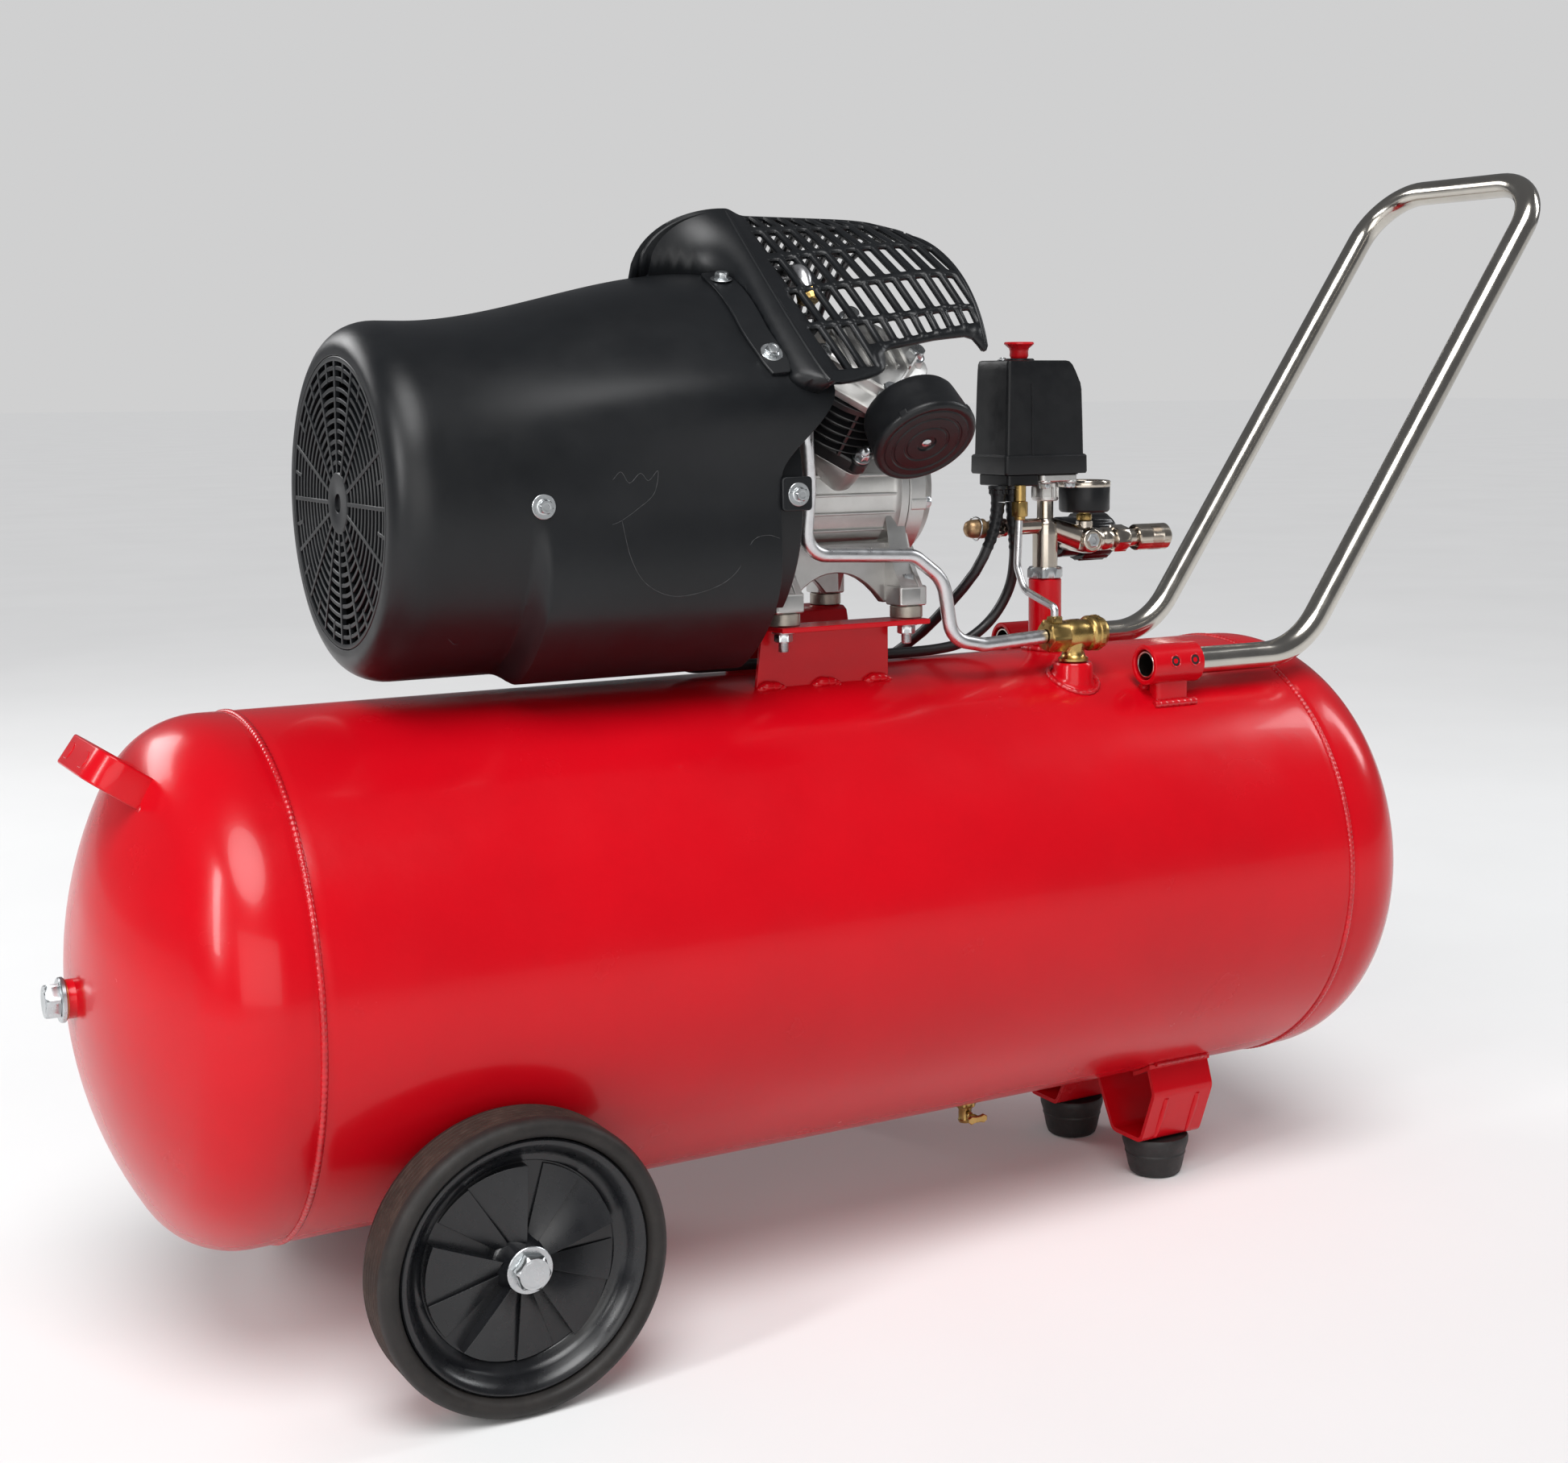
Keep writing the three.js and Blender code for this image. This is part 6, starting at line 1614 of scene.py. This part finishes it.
    pull = Part("safety_valve_pull", "safety_valve_pull")
    side = at(RISER_X, 0, MANIFOLD_Z, NX)
    pull.lathe([(0, 54.4), (5.6, 54.4), (5.6, 60), (7.2, 60.4), (8.0, 61.4), (8.0, 63.4), (7.6, 66),
                (7.4, 72),
                (6.2, 75.6), (3.6, 77.6), (0, 78.0)], BRONZE, side, 56)
    ring = at(RISER_X - 68, 0, MANIFOLD_Z, NX)
    pull.tube([ring @ Vector((9.4 * math.cos(t), 9.4 * math.sin(t), 0.8 * math.sin(2 * t)))
               for t in [2 * math.pi * k / 40 for k in range(40)]], 0.6, ZINC, 10, closed=True)
    pull.made(replaces=("safety_valve_pull",), slot="brass")

    knob = Part("regulator_knob", "regulator_knob")
    turn = at(RISER_X, 38, OUTLET_Z, X)
    rings = []
    for r, x in ((19.8, 58.4), (21, 59.6), (21, 84), (19.6, 86), (17.2, 86.4), (16.6, 87.2),
                 (16.4, 90.6), (15.0, 92),
                 (0.5, 92)):
        grip_depth = 0.9 if r > 20 else 0.0
        rings.append([((r - grip_depth * (0.5 + 0.5 * math.cos(20 * a))) * math.cos(a),
                       (r - grip_depth * (0.5 + 0.5 * math.cos(20 * a))) * math.sin(a), x)
                      for a in [2 * math.pi * i / 160 for i in range(160)]])
    knob.rings(rings, GLOSS_BLACK, turn)
    knob.made(replaces=("regulator_knob",), slot="gloss_plastic")


def gauge():
    part = Part("gauge")
    place = at(OUTLET_X, 0, 543.3)
    part.hexagon(12, 0, 5.4, BRASS, place, roll=0.3)
    part.disc(4.6, 5, 8, BRASS, place, 32, 0.4)
    part.lathe([(0, 7), (19.2, 7), (20.4, 7.8), (21.0, 9.2), (21.2, 28.0), (20.8, 28.8), (0, 28.8)],
               BLACK_PLASTIC, place, 96)
    part.lathe([(21.4, 27.8), (21.6, 28.6), (21.6, 31.6), (20.9, 32.8), (19.6, 33.0), (18.6, 32.2),
                (18.4, 29.2),
                (18.4, 28.0)], NICKEL, place, 96, closed=True)
    part.disc(18.5, 28.6, 29.2, DIAL, place, 72, 0.1)
    for k in range(21):
        a = math.radians(225 - 13.5 * k)
        long = 3.6 if k % 5 == 0 else 2.0
        turn = place @ Matrix.Rotation(a, 4, "Z")
        part.block(16.4 - long, 16.4, -0.22, 0.22, 29.1, 29.35, INK, turn, 0.1, 0.05)
    needle = place @ Matrix.Rotation(math.radians(225), 4, "Z")
    part.prism([(-4, -0.9), (-4, 0.9), (12.5, 0.2), (12.5, -0.2)], 29.8, 30.1, INK, needle)
    part.disc(1.8, 29.2, 30.6, INK, place, 32, 0.3)
    part.made(bevel=0.0, replaces=("gauge",), slot="gloss_plastic")
    lens = Part("gauge_lens")
    lens.lathe([(0, 31.0), (18.4, 31.0), (18.4, 31.8), (12, 32.0), (0, 32.1)], LENS, place, 72)
    lens.made(slot="gloss_plastic")


manifold()
gauge()


# ---------------------------------------------------------------- pressure switch
SWITCH_X = 228.0


def pressure_switch():
    flange = Part("switch_flange")
    flange.block(SWITCH_X - 4, SWITCH_X + 32, -24, 24, 577, 582.8, CAST, None, 4.0, 0.8)
    flange.disc(14, 575.9, 579, CAST, at(RISER_X, 0, 0), 56, 0.8)
    for x, y in ((2, -19), (27, -19), (2, 19), (27, 19)):
        spot = at(SWITCH_X + x, y, 577, NZ)
        flange.disc(5.4, -1, 1.4, CAST, spot, 32, 0.5)
        flange.hexagon(8, 1.2, 5.4, ZINC, spot, roll=x)
    flange.made(bevel=0.5, replaces=("switch_flange",), slot="cast_aluminium")

    base = Part("switch_base")
    base.block(SWITCH_X - 35, SWITCH_X - 4.3, -21.5, 21.5, 574, 583.2, BLACK_PLASTIC, None, 3.0, 0.8)
    base.block(SWITCH_X - 6, SWITCH_X + 34, -22, 22, 582.4, 583.2, BLACK_PLASTIC, None, 2.0, 0.2)
    for x, y in ((-39, -13.5), (-26, -14.5)):
        gland = at(SWITCH_X + x, y, 574.5, NZ)
        base.lathe([(0, 0), (8.2, 0), (8.2, 2.4), (7.2, 3.2), (7.2, 6.0), (6.6, 7.6), (0, 7.6)],
                   BLACK_PLASTIC, gland, 48)
        for k in range(10):
            turn = gland @ Matrix.Rotation(0.628 * k, 4, "Z")
            base.block(6.6, 7.9, -0.9, 0.9, 1.6, 6.4, BLACK_PLASTIC, turn, 0.3, 0.3)
        base.lathe([(0, 7), (6.2, 7), (5.9, 12.5), (0, 12.5)], BLACK_PLASTIC, gland, 40)
    base.block(SWITCH_X - 20, SWITCH_X - 8, 4, 18, 562, 575, BLACK_PLASTIC, None, 2.0, 0.8)
    base.disc(5, 562, 575, BRASS, at(203.8, -22, 0), 32, 0.6)
    base.made(bevel=0.5, replaces=("switch_base",), slot="black_plastic")

    cover = Part("switch_cover")
    levels = [(583.4, 39.6, 25.8, 0), (585.0, 40.3, 26.4, 0), (597.6, 40.1, 26.2, 0),
              (598.6, 39.4, 25.5, 0),
              (599.2, 38.0, 24.3, 0), (626, 37.4, 24.0, 0), (644, 36.8, 23.8, 0),
              (651, 36.6, 23.7, 0.4), (656, 36.4, 23.6, 2.0),
              (666, 36.1, 23.3, 6.8), (671, 35.8, 23.0, 9.4), (673.6, 35.0, 22.3, 11.2),
              (674.2, 33.6, 21.0, 12.6)]
    rings = []
    for z, hx, hy, chop in levels:
        ring = []
        for px, py in rounded_rect(hx, hy, 3.2, 5):
            ring.append((SWITCH_X + min(px, hx - chop), py, z))
        rings.append(ring)
    cover.rings(rings, BLACK_PLASTIC)
    for side in (-1, 1):
        line = [(SWITCH_X - 13.6, side * hy, z) for z, _, hy, _ in levels[3:9]]
        cover.tube(line, 0.7, BLACK_PLASTIC, 8)
    cover.lathe([(12.4, 673.4), (12.2, 675.2), (11.2, 675.8), (8.2, 675.8), (7.2, 674.8), (7.2, 673.0)],
                BLACK_PLASTIC, at(SWITCH_X - 10, 0, 0), 56)
    cover.disc(7.1, 672, 674.4, INK, at(SWITCH_X - 10, 0, 0), 40, 0.1)
    screw(cover, at(SWITCH_X - 26, 0, 674.0), 5.0, 4.0, 2.4, flange=False)
    cover.made(bevel=0.5, angle=30, replaces=("switch_cover",), slot="black_plastic")

    knob = Part("switch_knob", "switch_knob")
    knob.lathe([(0, 655), (5.4, 655), (5.4, 674.6), (6.4, 675.6), (7.6, 678), (7.4, 681.6), (8.2, 684),
                (10.8, 686.2),
                (12.0, 687.2), (12.0, 688.4), (11.4, 689.0), (8.8, 688.6), (8.0, 688.0), (0, 688.0)],
               RED_PLASTIC, at(SWITCH_X - 10, 0, 0), 72)
    knob.made(replaces=("switch_knob",), slot="red_plastic")


pressure_switch()


# ---------------------------------------------------------------- handle and motor lead
def handle():
    part = Part("handle")
    side = [[(SOCKET_X0 + 2, s * HANDLE_Y, HANDLE_Z), (428, s * HANDLE_Y, HANDLE_Z),
             (706, s * HANDLE_Y, 829)]
            for s in (-1, 1)]
    line = rounded_line([*side[0], *reversed(side[1])], [70, 52, 52, 70], 16)
    count = 48
    part.tube(line, 10.75, STAINLESS, count, caps=False)
    for s in (-1, 1):
        place = at(SOCKET_X0 + 2, s * HANDLE_Y, HANDLE_Z, X)
        part.lathe([(10.75, 0), (10.4, -0.3), (9.5, -0.3), (9.2, 0), (9.2, 60), (0, 60)], STAINLESS,
                   place, count)
    part.made(replaces=("handle",), slot="handle_steel")


handle()
MOTOR_ROUTE = [(202, -14, 561.5), (203, -14.5, 540), (206, -11, 515), (206, -3, 490), (194, 4, 466),
               (170, 5, 450), (140, 2, 445), (90, 0, 444.5), (40, 0, 444.5), (-10, 0, 444.5), (-60, 0, 445),
               (-80, 0, 446), (-92, 0, 453), (-96, 0, 466), (-96, 0, 490)]
motor_lead = Part("motor_lead")
motor_lead.tube(smooth_line(MOTOR_ROUTE, 6), LEAD_R, SHEATH, 18)
motor_lead.made(replaces=("motor_lead",), slot="cable_rubber")
relief = Part("lead_strain_reliefs")
for route in (ROUTE, MOTOR_ROUTE):
    start = resample(smooth_line(route[:4], 6), 1.5)[:26]
    relief.tube(start, [5.9 - 0.05 * i - (0.5 if i % 4 > 1 else 0) for i in range(26)], BLACK_PLASTIC, 24)
relief.made(slot="cable_rubber")


# ---------------------------------------------------------------- floor and light
def floor():
    """A pale plane just under the tyres and feet, in metres."""
    reach, level = 60, -0.0006
    sheet = bpy.data.meshes.new("floor")
    corners = [(x * reach, y * reach, level) for x, y in ((-1, -1), (1, -1), (1, 1), (-1, 1))]
    sheet.from_pydata(corners, [], [(0, 1, 2, 3)])
    sheet.materials.append(surface("pale_floor", (0.76, 0.76, 0.76), 0.8, specular=0.05, vary=0.02,
                                   patch=2.0, grain=60.0))
    obj = bpy.data.objects.new("floor", sheet)
    bpy.context.scene.collection.objects.link(obj)


def studio():
    """A pale room to the camera, but a dim one in reflections, so the lamps shape the gloss."""
    world = bpy.data.worlds.new("studio")
    world.use_nodes = True
    tree = world.node_tree
    dim = tree.nodes["Background"]
    dim.inputs["Color"].default_value = (0.93, 0.95, 1.0, 1)
    dim.inputs["Strength"].default_value = 0.15
    pale = tree.nodes.new("ShaderNodeBackground")
    pale.inputs["Color"].default_value = (0.63, 0.63, 0.632, 1)
    path = tree.nodes.new("ShaderNodeLightPath")
    mix = tree.nodes.new("ShaderNodeMixShader")
    tree.links.new(path.outputs["Is Camera Ray"], mix.inputs["Fac"])
    tree.links.new(dim.outputs["Background"], mix.inputs[1])
    tree.links.new(pale.outputs["Background"], mix.inputs[2])
    tree.links.new(mix.outputs["Shader"], tree.nodes["World Output"].inputs["Surface"])
    bpy.context.scene.world = world
    sun = bpy.data.lights.new("overhead", "SUN")
    sun.energy = 2.55
    sun.angle = math.radians(35)
    lamp = bpy.data.objects.new("overhead", sun)
    lamp.rotation_euler = (math.radians(28), math.radians(-14), 0)
    bpy.context.scene.collection.objects.link(lamp)
    area_light("front", (-1.6, -3.4, 1.2), (0, 0, 0.4), (3.0, 1.8), 38, (1.0, 0.99, 0.97))
    area_light("window_left", (-2.5, -0.9, 1.5), (-0.4, 0, 0.35), (0.3, 1.4), 30)
    area_light("window_back", (-1.6, 2.6, 1.9), (-0.2, 0, 0.4), (1.6, 1.0), 30)
    area_light("right", (2.6, -0.6, 1.9), (0.2, 0, 0.4), (0.5, 1.4), 22, (0.96, 0.98, 1.0))


floor()
studio()
bpy.context.scene.view_settings.view_transform = "Standard"
